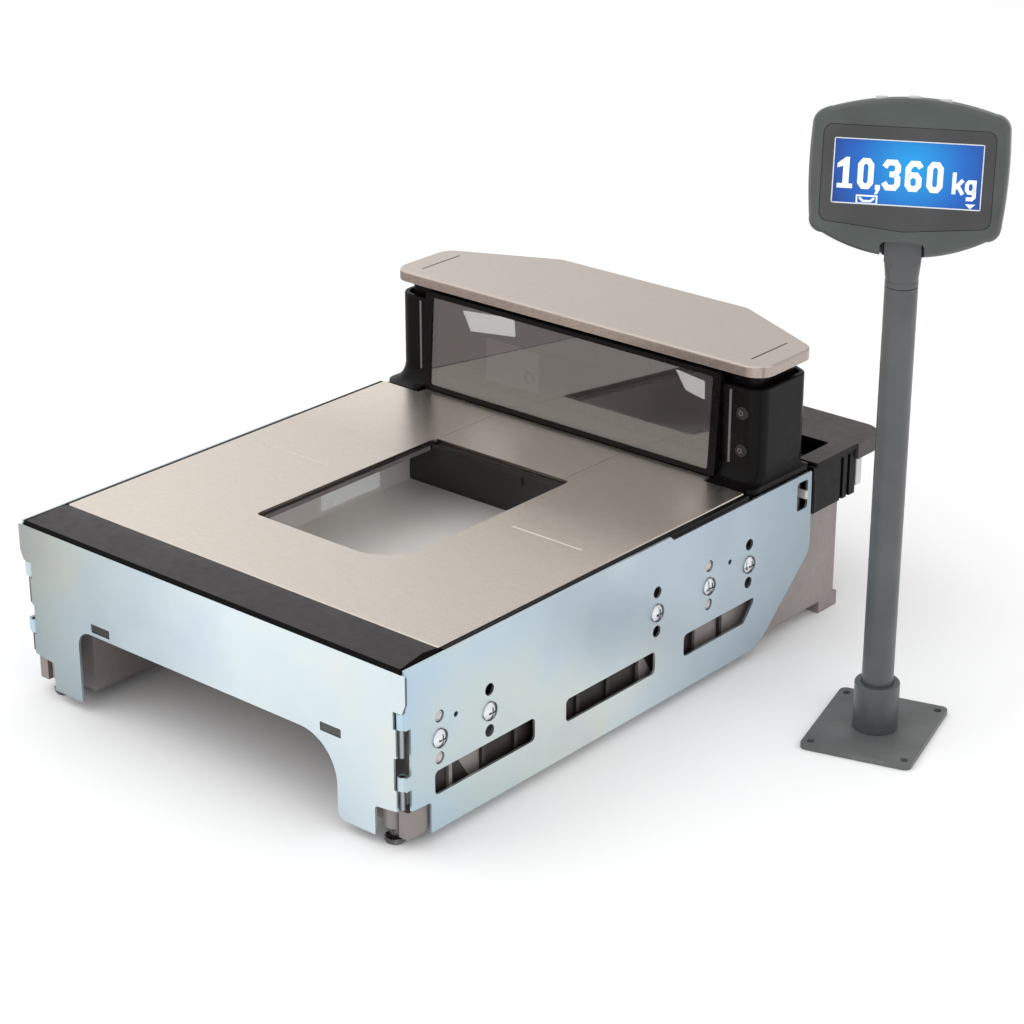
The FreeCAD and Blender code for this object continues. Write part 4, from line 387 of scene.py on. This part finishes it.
# The scan mirrors are pale matt plates that give a little light of their own: painted reflection.
MIRROR_GLOW_TONE = tone(226, 229, 226)
wall_mirror_painted_glow = finish_of("wall_mirror_painted_glow", MIRROR_GLOW_TONE, 0.0, 0.3, own_light(MIRROR_GLOW_TONE, 0.22))
roughen(wall_mirror_painted_glow, pattern(wall_mirror_painted_glow, 60.0), 0.2, 0.4)
mirrors = eased("scan_mirrors", wall_mirror_painted_glow, 0.0002)
REAR_MIRROR_FROM = 0.02
REAR_MIRROR_HALF_WIDTH = 0.06
second_finish(mirrors, bench_black, lambda c, n: (
    c.y > REAR_MIRROR_FROM and abs(c.x) < REAR_MIRROR_HALF_WIDTH))


# Weighing parts
# Machined aluminium bars and carrier with rubber pads on its corners, under the platter.
# The bars are screwed to the casting, the carrier to the bars; the platter only lies on the pads.
machined = finish_of("machined_aluminium", tone(196, 197, 200), 0.9, 0.38)
relief(machined, pattern(machined, 600.0, stretch=(0.1, 1, 1)), 0.2, 0.0002)
dress(machined, "load_cells", "weigh_carrier")
rubber = finish_of("black_rubber", tone(34, 33, 33), 0.0, 0.7)
relief(rubber, pattern(rubber, 1600.0), 0.2, 0.0002)
dress(rubber, "platter_pads")
eased("cover_gasket", rubber, 0.0008)


# Platter
# Pressed from brushed stainless sheet: a warm fine grain that runs across the width,
# with a turned-down edge and two engraved lines. The plate behind the window is separate.
def brushed(name, base, deep, pale, grain_depth, reflection_rise=None):
    """Stainless in three close tones of one grain; the rise stops, when given, paint its reflection
    darker at the front and brighter to the rear.
    """
    made = finish_of(name, base, 1.0, 0.3)
    grain = pattern(made, 1500.0, stretch=(0.14, 1, 1))
    speckle = pattern(made, 1400.0)
    tree = made.node_tree
    blend = tree.nodes.new("ShaderNodeMix")
    blend.data_type = "FLOAT"
    blend.inputs["Factor"].default_value = 0.5
    tree.links.new(grain, blend.inputs["A"])
    tree.links.new(speckle, blend.inputs["B"])
    steel = tints(made, blend.outputs["Result"], [(0.36, deep), (0.5, base), (0.64, pale)])
    paint(made, painted_light_along(made, steel, FRONT_TO_REAR, reflection_rise) if reflection_rise else steel)
    roughen(made, grain, 0.28, 0.34)
    relief(made, grain, 0.02, grain_depth)
    return made


# Painted reflection: the platter's steel is painted darker over its front and brighter towards the
# rear.
stainless = brushed(
    "platter_stainless", tone(252, 240, 228), tone(243, 231, 219), tone(255, 249, 238), 0.00005,
    reflection_rise=[(0.0, (0.82, 0.82, 0.82)), (0.6, (0.82, 0.82, 0.82)),
          (0.78, (1.0, 1.0, 1.0)), (1.0, (1.0, 1.0, 1.0))])
# A dark copy of the steel for the walls of the window cut-out: painted shade over their highlight.
cut_edge_painted_shade = brushed("cut_edge_painted_shade", tone(112, 104, 99), tone(102, 95, 90), tone(122, 114, 109), 0.00005)
WINDOW_LEFT, WINDOW_RIGHT = -0.0508, 0.0548
WINDOW_FRONT, WINDOW_REAR = -0.0878, 0.0648
for part in ("platter", "centre_plate"):
    sheet = eased(part, stainless, 0.0002, body="platter")
    second_finish(sheet, cut_edge_painted_shade, lambda c, n: (
        WINDOW_LEFT < c.x < WINDOW_RIGHT and WINDOW_FRONT < c.y < WINDOW_REAR and n.z < 0.95))


# Platter glass
# A clear hard pane that lies in a frame under the sheet, flush with the cut-out,
# and lets the scan lines up through the platter.
pane = finish_of("scan_glass", tone(60, 58, 56), 0.0, 0.03, (
    ("Alpha", 0.05), ("Specular IOR Level", 1.0)))
roughen(pane, pattern(pane, 40.0), 0.02, 0.05)
dress(pane, "platter_glass")


# Black mouldings
# Fine-textured black plastic: the faceted nose in front of the platter, the side rails,
# the tower with its flared pillars, and the housing and deck at the rear.
def moulded(name, colour, rough, shine=0.3, strength=0.22):
    """Moulded plastic with a fine spark-eroded texture and faint clouds of tone."""
    made = finish_of(name, colour, 0.0, rough, (("Specular IOR Level", shine),))
    deep, pale = (tuple(c * share for c in colour[:3]) + (1.0,) for share in (0.86, 1.14))
    clouded(made, 30.0, [(0.35, deep), (0.65, pale)])
    roughen(made, pattern(made, 160.0), rough - 0.06, rough + 0.06)
    relief(made, pattern(made, 1500.0), strength, 0.0002)
    return made


nose_black = moulded("nose_black", tone(47, 42, 43), 0.4)
tower_black = moulded("tower_black", tone(14, 12, 12), 0.28, shine=0.11, strength=0.08)
nose_painted_shade = moulded("nose_painted_shade", tone(11, 10, 10), 0.5, shine=0.06)
rear_black = moulded("rear_black", tone(20, 18, 19), 0.42, shine=0.14)
deck_black = moulded("deck_black", tone(74, 67, 67), 0.42)
frame_grey = moulded("frame_grey", tone(112, 104, 104), 0.4)
nose = eased("front_bezel", nose_black, 0.0005)
# Painted shade: the nose's front and side faces take a darker, duller copy of its black.
second_finish(nose, nose_painted_shade, lambda c, n: n.y < -0.25 or abs(n.x) > 0.3)
eased("right_side_rail", tower_black, 0.0002)
eased("left_side_rail", tower_black, 0.0002)
holder = eased("platter_frame", frame_grey, 0.0003, body="platter")
HOLDER_BAR = 0.004
second_finish(holder, bench_black, lambda c, n: c.y > WINDOW_REAR - HOLDER_BAR)
eased("tower_housing", tower_black, 0.0006)
eased("tower_window_frame", tower_black, 0.0003)
housing = eased("rear_housing", rear_black, 0.0005)
HOUSING_TOP_FROM = 0.1
second_finish(housing, deck_black, lambda c, n: n.z > 0.3 and c.z > HOUSING_TOP_FROM)
eased("rear_deck", deck_black, 0.0006)


# Tower window
# Smoked glass that leans back a little in its frame and dims the mirrors behind it.
# A hard coat makes it mirror the platter and the pale room.
smoked = finish_of("smoked_glass", tone(66, 60, 58), 0.0, 0.04, (
    ("Alpha", 0.66), ("Specular IOR Level", 1.0),
    ("Coat Weight", 1.0), ("Coat IOR", 2.3), ("Coat Roughness", 0.02)))
roughen(smoked, pattern(smoked, 30.0), 0.02, 0.06)
dress(smoked, "tower_glass")


# Tower mirrors
# Two bright slanted mirror plates inside the tower that throw the scan lines forward, and
# the grey carrier with its round boss below the left one; thin plates on the housing's inner side.
def thickened(push):
    """Gives the flat faces of the mesh in edit mode a thickness, with all normals outward."""
    bpy.ops.mesh.select_all(action="SELECT")
    bpy.ops.mesh.extrude_region_move(TRANSFORM_OT_translate={"value": push})
    bpy.ops.mesh.select_all(action="SELECT")
    bpy.ops.mesh.normals_make_consistent(inside=False)


def thin_plate(name, corners, push, finish, body="base"):
    """Thin plate given by the corners of one face and the way to the other, with broken edges."""
    mesh = bpy.data.meshes.new(name)
    mesh.from_pydata(corners, [], [tuple(range(len(corners)))])
    plate = picked(name, mesh)
    bpy.ops.object.mode_set(mode="EDIT")
    thickened(push)
    bpy.ops.mesh.bevel(offset=0.0003, segments=2)
    bpy.ops.object.mode_set(mode="OBJECT")
    settled(plate, finish, body)


def ring_piece(name, centre, axis, major, minor, finish, body="base"):
    """A round-section ring about an axis."""
    bpy.ops.mesh.primitive_torus_add(
        major_radius=major, minor_radius=minor, major_segments=32, minor_segments=10)
    made = bpy.context.object
    made.name = name
    facing = Vector(axis).to_track_quat("Z", "Y").to_matrix().to_4x4()
    made.data.transform(Matrix.Translation(centre) @ facing)
    bpy.ops.object.shade_smooth()
    settled(made, finish, body)


# Painted reflection and painted light: the mirror plates glow strongly and the carrier glows faintly
# with their own light.
mirror_painted_glow = finish_of("mirror_painted_glow", tone(240, 240, 238), 0.0, 0.3, own_light(tone(250, 250, 248), 3.2))
roughen(mirror_painted_glow, pattern(mirror_painted_glow, 90.0), 0.25, 0.4)
CARRIER_GLOW_TONE = tone(150, 140, 144)
carrier_painted_glow = finish_of("carrier_painted_glow", CARRIER_GLOW_TONE, 0.0, 0.5, own_light(CARRIER_GLOW_TONE, 0.5))
clouded(carrier_painted_glow, 60.0, [(0.35, tone(142, 132, 136)), (0.65, tone(158, 148, 152))])
MIRROR_AT = 0.147
MIRROR_SHEET = 0.0015
INNER_PLATES = (
    ("left_tower_mirror", mirror_painted_glow, (
        (-0.1015, 0.1545), (-0.0600, 0.1585), (-0.0590, 0.1470), (-0.0950, 0.1425))),
    ("right_tower_mirror", mirror_painted_glow, (
        (0.0665, 0.1555), (0.0870, 0.1530), (0.0875, 0.1420), (0.0740, 0.1445))),
    ("mirror_carrier", carrier_painted_glow, (
        (-0.0820, 0.1410), (-0.0400, 0.1400), (-0.0400, 0.1140), (-0.0820, 0.1130))))
for name, finish, outline in INNER_PLATES:
    thin_plate(name, [(x, MIRROR_AT, z) for x, z in outline], (0, MIRROR_SHEET, 0), finish)
BOSS_CENTRE = Vector((-0.0465, MIRROR_AT - 0.0003, 0.1230))
ring_piece("carrier_boss", BOSS_CENTRE, (0, 1, 0), 0.0034, 0.0006, tower_black)


# Tower cover
# A stainless pressing with rolled edges and a short groove at each end, the same steel as
# the platter. It rests on the gasket over the tower's neck.
COVER_GRAIN = 0.00004
cover_steel = brushed(
    "cover_stainless", tone(229, 218, 208), tone(222, 211, 201), tone(236, 226, 216), COVER_GRAIN)
# Darker copies of the cover's steel for its sides, its rolled edges and its grooves: painted shade.
cover_side_painted_shade = brushed(
    "cover_side_painted_shade", tone(176, 164, 157), tone(160, 149, 142), tone(190, 178, 171), COVER_GRAIN)
rolled_edge_painted_shade = brushed(
    "rolled_edge_painted_shade", tone(212, 200, 189), tone(204, 192, 181), tone(220, 208, 197), COVER_GRAIN)
groove_painted_shade = brushed(
    "groove_painted_shade", tone(150, 136, 128), tone(140, 127, 119), tone(160, 146, 138), COVER_GRAIN)
GROOVE_INNER, GROOVE_OUTER = 0.1258, 0.1282
GROOVE_FRONT, GROOVE_REAR = 0.1370, 0.1740
cover = eased("tower_cover", cover_steel, 0.0003)
second_finish(cover, cover_side_painted_shade, lambda c, n: abs(n.z) < 0.35)
second_finish(cover, rolled_edge_painted_shade, lambda c, n: 0.35 <= n.z < 0.96)
second_finish(cover, groove_painted_shade, lambda c, n: (
    GROOVE_INNER < abs(c.x) < GROOVE_OUTER and GROOVE_FRONT < c.y < GROOVE_REAR))


# Lights and keys of the tower
# Two narrow light strips of milky plastic snapped into the pillars, and two round black keys
# in their bores, each with a small printed ring.
lens = finish_of("milky_lens", tone(104, 101, 106), 0.0, 0.3)
relief(lens, pattern(lens, 900.0), 0.1, 0.0002)
dress(lens, "status_lenses")
key_black = moulded("key_black", tone(36, 34, 35), 0.36)
mark_print = moulded("key_print", tone(128, 122, 122), 0.5)
MARK_RADIUS = 0.0013
MARK_LINE = 0.00022
MARK_SINK = 0.00005
TOWER_KEYS = (("zero_button", "zero_key"), ("volume_button", "volume_key"))
for key, body in TOWER_KEYS:
    eased(key, key_black, 0.0003, body=body)
for key, body in TOWER_KEYS:
    low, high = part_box(key)
    middle = Vector(((low[0] + high[0]) / 2, low[1] + MARK_SINK, (low[2] + high[2]) / 2))
    ring_piece(key + "_mark", middle, (0, 1, 0), MARK_RADIUS, MARK_LINE,
               mark_print, body=body)


# Connector bay
# Sockets in grey and black plastic, green boards with dark parts, the latch pegs of the
# tower, and a grey tab for the cords behind each end of the housing.
socket_grey = moulded("socket_grey", tone(120, 120, 122), 0.45)
dress(socket_grey, "data_sockets")
dress(tower_black, "power_socket", "speaker")
peg_grey = moulded("peg_grey", tone(205, 206, 204), 0.45)
dress(peg_grey, "latch_pegs")
TAB_LOW, TAB_HIGH = 0.0785, 0.0963
TAB_OUTSIDE = 0.1462
TAB_SHEET = 0.0018
housing_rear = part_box("rear_housing")[1][1]
tab_root, tab_end = housing_rear - 0.0004, housing_rear + 0.0050
for side, sign in (("right", 1), ("left", -1)):
    outline = [(sign * TAB_OUTSIDE, at, level) for at, level in (
        (tab_root, TAB_LOW), (tab_end, TAB_LOW), (tab_end, TAB_HIGH), (tab_root, TAB_HIGH))]
    thin_plate(side + "_cord_tab", outline, (-sign * TAB_SHEET, 0, 0), peg_grey)
board_green = finish_of("board_green", tone(44, 92, 62), 0.0, 0.4)
clouded(board_green, 300.0, [(0.4, tone(36, 78, 52)), (0.6, tone(52, 104, 70))])
dress(board_green, "main_board", "key_board", "display_board")


# Weight display stand
# A painted steel base plate with four screw holes, a turned collar, a tube, and the moulded
# neck that turns on the tube and holds the head by a pin.
stand_grey = moulded("stand_grey", tone(74, 79, 79), 0.34, shine=0.6)
plate_grey = moulded("plate_grey", tone(98, 102, 101), 0.4)
for part, finish in (("pole_base_plate", plate_grey), ("pole_collar", stand_grey),
                     ("pole_tube", stand_grey)):
    eased(part, finish, 0.0005)
eased("pole_neck", stand_grey, 0.0006, body="neck")
dress(pin_painted_reflection, "tilt_pin")


# Weight display head
# Two grey-green shells that meet in a seam, a face plate in a groove of the front one,
# and three pale round keys in bores on top.
head_grey = moulded("head_grey", tone(68, 75, 73), 0.36, shine=0.55)
face_grey = moulded("face_grey", tone(70, 70, 70), 0.5)
pale_key = moulded("pale_key", tone(205, 206, 204), 0.5)
eased("head_front_shell", head_grey, 0.0008, body="head")
eased("head_rear_shell", head_grey, 0.0008, body="head")
eased("face_plate", face_grey, 0.0003, body="head")
for side in ("left", "middle", "right"):
    eased(side + "_display_button", pale_key, 0.0003, body=side + "_display_key")


# Tilt joint of the display
# Rubber washers on the tilt pin fill the gaps between the neck and the head's pocket, and small black
# rubber plates below them stand for the shade deeper in the pocket: painted shade. They stay with the
# neck.
joint_of = {joint["name"]: joint for joint in frame["joints"]}
pivot = Vector(joint_of["head_tilt"]["pos_m"])
across = Vector(joint_of["head_tilt"]["axis"]).normalized()
level_inward = Vector((0, 0, 1)).cross(across)
WASHER_AT = 0.0105
SHADE_CHEEK_DEPTH = 0.004
SHADE_CHEEK = ((0.0094, -0.0088), (0.0113, -0.0082), (0.0113, -0.0040), (0.0094, -0.0040))
for side, sign in (("left", -1), ("right", 1)):
    ring_piece("tilt_washer_" + side, pivot + across * sign * WASHER_AT, across, 0.0052, 0.00092,
               rubber, body="neck")
    # Painted shade: the black cheeks stand for the shaded walls of the pocket.
    shade_cheek = [pivot + across * sign * out + Vector((0, 0, up)) - level_inward * SHADE_CHEEK_DEPTH / 2
             for out, up in SHADE_CHEEK]
    thin_plate("neck_shade_cheek_" + side, shade_cheek, level_inward * SHADE_CHEEK_DEPTH,
               rubber, body="neck")


# Screen
# A blue lit screen, brighter in its middle, with a pale line round it, a weight in white
# figures, and two small marks below. It stands behind the opening of the face plate.
upward = -Vector(joint_of["left_display_press"]["axis"]).normalized()
inward = upward.cross(across)
head_place = Matrix((
    (across.x, inward.x, upward.x, pivot.x),
    (across.y, inward.y, upward.y, pivot.y),
    (across.z, inward.z, upward.z, pivot.z),
    (0.0, 0.0, 0.0, 1.0)))
SCREEN_MIDDLE = Vector((0.0, -0.0135, 0.0346))
GLOW_MIDDLE = SCREEN_MIDDLE + Vector((0.002, 0, 0.004))
GLOW_REACH = 0.042

lit = finish_of("lit_screen", tone(14, 76, 160), 0.0, 0.3, (("Emission Strength", 0.4),))
tree = lit.node_tree
place = tree.nodes.new("ShaderNodeTexCoord")
shift = tree.nodes.new("ShaderNodeMapping")
shift.inputs["Location"].default_value = tuple(-c / GLOW_REACH for c in head_place @ GLOW_MIDDLE)
shift.inputs["Scale"].default_value = (1 / GLOW_REACH,) * 3
glow = tree.nodes.new("ShaderNodeTexGradient")
glow.gradient_type = "SPHERICAL"
tree.links.new(place.outputs["Object"], shift.inputs["Vector"])
tree.links.new(shift.outputs["Vector"], glow.inputs["Vector"])
blues = tints(lit, glow.outputs["Fac"], [
    (0.0, tone(6, 56, 132)), (0.35, tone(2, 84, 166)), (0.9, tone(2, 132, 196))])
paint(lit, blues)
tree.links.new(blues, tree.nodes["Principled BSDF"].inputs["Emission Color"])
dress(lit, "lcd_panel")

WHITE = tone(236, 242, 248)
white_ink = finish_of("lit_white", WHITE, 0.0, 0.4, own_light(WHITE, 0.15))
roughen(white_ink, pattern(white_ink, 300.0), 0.35, 0.45)
INK_DEPTH = 0.0002


def on_screen(piece, name):
    """Stands a flat mesh, drawn in X and Y about the screen's middle, on the screen."""
    upright = Matrix.Rotation(math.pi / 2, 4, "X")
    piece.data.transform(head_place @ Matrix.Translation(SCREEN_MIDDLE) @ upright)
    piece.name = name
    settled(piece, white_ink, "head")


def bar(x0, x1, y0, y1):
    """A thin flat strip on the screen, given by its edges."""
    bpy.ops.mesh.primitive_plane_add(size=1, location=(0, 0, 0))
    strip = bpy.context.object
    bpy.ops.object.mode_set(mode="EDIT")
    bpy.ops.mesh.select_all(action="SELECT")
    bpy.ops.transform.resize(value=(x1 - x0, y1 - y0, 1))
    bpy.ops.transform.translate(value=((x0 + x1) / 2, (y0 + y1) / 2, 0))
    thickened((0, 0, INK_DEPTH))
    bpy.ops.object.mode_set(mode="OBJECT")
    return strip


half_w = 0.076 / 2
half_h = 0.0335 / 2
LINE = 0.0006
edges = {
    "left": (-half_w, -half_w + LINE, -half_h, half_h),
    "right": (half_w - LINE, half_w, -half_h, half_h),
    "top": (-half_w, half_w, half_h - LINE, half_h),
    "bottom": (-half_w, half_w, -half_h, -half_h + LINE)}
for side, (x0, x1, y0, y1) in edges.items():
    on_screen(bar(x0, x1, y0, y1), "screen_line_" + side)


def patch(outlines):
    """Thin flat shapes on the screen as one mesh, each given by its corners in turn."""
    points, faces = [], []
    for outline in outlines:
        faces.append(tuple(range(len(points), len(points) + len(outline))))
        points += [(x, y, 0.0) for x, y in outline]
    mesh = bpy.data.meshes.new("patch")
    mesh.from_pydata(points, [], faces)
    shape = picked("patch", mesh)
    bpy.ops.object.mode_set(mode="EDIT")
    bpy.ops.mesh.select_all(action="SELECT")
    bpy.ops.mesh.remove_doubles(threshold=1e-6)
    thickened((0, 0, INK_DEPTH))
    bpy.ops.object.mode_set(mode="OBJECT")
    return shape


def stroke(path, width, closed=False):
    """Quads of an even width along a path, with mitred corners."""
    points = [Vector(p) for p in path]
    count = len(points)
    left, right = [], []
    for i, point in enumerate(points):
        before = points[i - 1] if closed or i > 0 else None
        after = points[(i + 1) % count] if closed or i < count - 1 else None
        entry = (point - before).normalized() if before else (after - point).normalized()
        leave = (after - point).normalized() if after else entry
        normal = Vector((-(entry + leave).y, (entry + leave).x)).normalized()
        reach = width / 2 / max(normal.dot(Vector((-entry.y, entry.x))), 0.5)
        left.append(point + normal * reach)
        right.append(point - normal * reach)
    quads = []
    for i in range(count if closed else count - 1):
        after = (i + 1) % count
        quads.append([tuple(left[i]), tuple(right[i]), tuple(right[after]), tuple(left[after])])
    return quads


def ring(width, low, high, cut, thick):
    """Closed stroke round a box with its corners cut off, as on a dot-matrix figure."""
    inset = thick / 2
    x0, x1, y0, y1 = inset, width - inset, low + inset, high - inset
    drop = cut * 1.3
    return stroke([(x0 + cut, y0), (x1 - cut, y0), (x1, y0 + drop), (x1, y1 - drop), (x1 - cut, y1),
                   (x0 + cut, y1), (x0, y1 - drop), (x0, y0 + drop)], thick, closed=True)


THICK = 2.9
THIN = 1.9
FIGURE_HEIGHT = 15.7
figures = {
    "one": [[(0.3, 0), (8.2, 0), (8.2, 2.3), (6.2, 2.3), (6.2, 15.8), (4.4, 15.8),
             (0.1, 12.4), (0.1, 10.2), (3.1, 11.2), (3.1, 2.3), (0.3, 2.3)]],
    "nought": ring(8.2, 0.0, FIGURE_HEIGHT, 1.5, THICK),
    "comma": [[(0.3, 2.4), (2.9, 2.4), (2.9, 0.2), (1.5, -2.4), (0.2, -2.4), (1.0, 0.0), (0.3, 0.0)]],
    "three": stroke([(0.7, 11.7), (2.4, 14.2), (6.2, 14.2), (7.5, 12.4), (7.5, 10.0), (6.1, 8.2),
                     (3.4, 8.2)], THICK)
    + stroke([(6.1, 8.2), (7.6, 6.3), (7.6, 3.3), (6.2, 1.4), (2.4, 1.4), (0.7, 3.9)], THICK),
    "six": ring(8.5, 0.0, 9.8, 1.4, THICK)
    + stroke([(1.45, 4.9), (1.45, 11.6), (3.3, 14.2), (6.3, 14.2), (7.8, 12.2)], THICK),
    "k": [[(0, 0), (2.0, 0), (2.0, 11.0), (0, 11.0)]]
    + stroke([(1.6, 3.0), (5.4, 7.3)], THIN) + stroke([(2.8, 4.5), (5.6, 0.0)], THIN),
    "g": ring(5.7, 0.2, 7.5, 1.0, THIN)
    + stroke([(4.75, 7.5), (4.75, -1.0), (3.7, -2.1), (0.8, -2.1)], THIN)}
FIGURE_LINE = -8.9
MM_PER_METRE = 1000
line_of_figures = (("one", -35.8), ("nought", -25.2), ("comma", -16.3), ("three", -12.4), ("six", -1.1),
                   ("nought", 9.9), ("k", 22.8), ("g", 29.4))
for number, (figure, left) in enumerate(line_of_figures):
    shapes = [[((left + x) / MM_PER_METRE, (FIGURE_LINE + y) / MM_PER_METRE) for x, y in outline]
              for outline in figures[figure]]
    on_screen(patch(shapes), "figure_%d_%s" % (number, figure))
stable = [(0.0300, -0.0136), (0.0352, -0.0136), (0.0326, -0.0160)]
on_screen(patch([stable]), "stable_mark")
ICON_LEFT, ICON_RIGHT = -0.0249, -0.0147
ICON_LOW, ICON_TOP = -0.0163, -0.0123
icon = stroke([(ICON_LEFT, ICON_LOW), (ICON_RIGHT, ICON_LOW),
               (ICON_RIGHT, ICON_TOP), (ICON_LEFT, ICON_TOP)], 0.0008, closed=True)
icon += stroke([(-0.0236, -0.0133), (-0.0217, -0.0150), (-0.0179, -0.0150), (-0.0160, -0.0133)], 0.0011)
on_screen(patch(icon), "tare_mark")


# Studio
# A pale floor, soft light from above, the left and the right, the camera where the photograph's
# was, and two cards outside the picture that only reflections show.
CAMERA_PLACE = Vector((0.9566, -1.0411, 0.7027))
CAMERA_TARGET = Vector((0.0578, 0.0085, 0.107))
CAMERA_LENS = 93.88
bpy.ops.object.camera_add(location=CAMERA_PLACE)
camera = bpy.context.object
camera.rotation_euler = (CAMERA_TARGET - CAMERA_PLACE).to_track_quat("-Z", "Y").to_euler()
camera.data.lens = CAMERA_LENS
camera.data.sensor_width = 36.0
camera.data.clip_end = 50.0
scene.camera = camera

DULL = (("Specular IOR Level", 0.0),)
FLOOR_DROP = 0.0002
bpy.ops.mesh.primitive_plane_add(size=14, location=(0, 0, -FLOOR_DROP))
floor = bpy.context.object
floor.name = "studio_floor"
floor.data.materials.append(finish_of("studio_floor_white", (0.97, 0.97, 0.97, 1), 0.0, 0.9, DULL))
floor.select_set(False)

# The sky is a little dimmer as a lamp than as what the camera and the reflections see.
world = bpy.data.worlds.new("studio_world")
scene.world = world
world.use_nodes = True
sky_tree = world.node_tree
sky = sky_tree.nodes["Background"]
sky.inputs["Color"].default_value = (1, 1, 1, 1)
rays = sky_tree.nodes.new("ShaderNodeLightPath")
seen = rays.outputs["Is Camera Ray"]
for kind in ("Is Glossy Ray", "Is Transmission Ray"):
    joined = sky_tree.nodes.new("ShaderNodeMath")
    joined.operation = "MAXIMUM"
    sky_tree.links.new(seen, joined.inputs[0])
    sky_tree.links.new(rays.outputs[kind], joined.inputs[1])
    seen = joined.outputs["Value"]
level = sky_tree.nodes.new("ShaderNodeMapRange")
level.inputs["To Min"].default_value = 0.95
level.inputs["To Max"].default_value = 1.0
sky_tree.links.new(seen, level.inputs["Value"])
sky_tree.links.new(level.outputs["Result"], sky.inputs["Strength"])


def softbox(name, place, aim, size, power):
    """A wide soft lamp that lights the set but shows in no reflection."""
    bpy.ops.object.light_add(type="AREA", location=place)
    lamp = bpy.context.object
    lamp.name = name
    lamp.data.shape = "RECTANGLE"
    lamp.data.size = size[0]
    lamp.data.size_y = size[1]
    lamp.data.energy = power
    lamp.visible_glossy = False
    lamp.rotation_euler = (Vector(aim) - Vector(place)).to_track_quat("-Z", "Y").to_euler()
    lamp.select_set(False)


softbox("key_softbox", (-1.0, -1.0, 1.6), (0.0, 0.0, 0.1), (2.4, 2.0), 14.0)
softbox("side_softbox", (1.8, -0.2, 0.9), (0.1, 0.0, 0.1), (1.2, 1.2), 4.0)


def reflected_card(name, corners, cloth):
    """A four-cornered card that only reflections show."""
    mesh = bpy.data.meshes.new(name)
    mesh.from_pydata(corners, [], [(0, 1, 2, 3)])
    mesh.materials.append(cloth)
    card = bpy.data.objects.new(name, mesh)
    scene.collection.objects.link(card)
    card.visible_camera = False
    card.visible_diffuse = False
    card.visible_shadow = False
    card.visible_transmission = False


# A tall card behind the set, pale at its left and dark at its right, that the steel reflects.
CARD_LEFT, CARD_RIGHT = -2.8, 1.6
CARD_LOW, CARD_TOP = 0.05, 2.8
CARD_AT = 1.9
BLACK = (0, 0, 0, 1)
rear_cloth = finish_of("rear_card_cloth", BLACK, 0.0, 1.0, DULL + (("Emission Strength", 1.0),))
card_greys = tints(rear_cloth, slope_along(rear_cloth, (CARD_LEFT, CARD_RIGHT - CARD_LEFT, 0.0)), [
    (at, (value, value, value, 1)) for at, value in (
        (0.0, 1.0), (0.09, 0.96), (0.16, 0.82), (0.25, 0.70), (0.34, 0.62), (0.45, 0.58), (1.0, 0.5))])
cloth_shader = rear_cloth.node_tree.nodes["Principled BSDF"]
rear_cloth.node_tree.links.new(card_greys, cloth_shader.inputs["Emission Color"])
reflected_card("rear_card", [
    (CARD_LEFT, CARD_AT, CARD_LOW), (CARD_RIGHT, CARD_AT, CARD_LOW),
    (CARD_RIGHT, CARD_AT, CARD_TOP), (CARD_LEFT, CARD_AT, CARD_TOP)], rear_cloth)

# A low card beside the platter, in its tone, that the tower's window and edges reflect.
SIDE_CARD_LEFT, SIDE_CARD_RIGHT = -0.50, -0.149
SIDE_CARD_FRONT, SIDE_CARD_REAR = -0.17, 0.30
SIDE_CARD_LEVEL = 0.100
side_cloth = finish_of("side_card_cloth", BLACK, 0.0, 1.0, DULL + own_light(tone(200, 190, 186), 1.0))
reflected_card("side_card", [(x, y, SIDE_CARD_LEVEL) for x, y in (
    (SIDE_CARD_LEFT, SIDE_CARD_FRONT), (SIDE_CARD_RIGHT, SIDE_CARD_FRONT),
    (SIDE_CARD_RIGHT, SIDE_CARD_REAR), (SIDE_CARD_LEFT, SIDE_CARD_REAR))], side_cloth)

scene.view_settings.view_transform = "Standard"
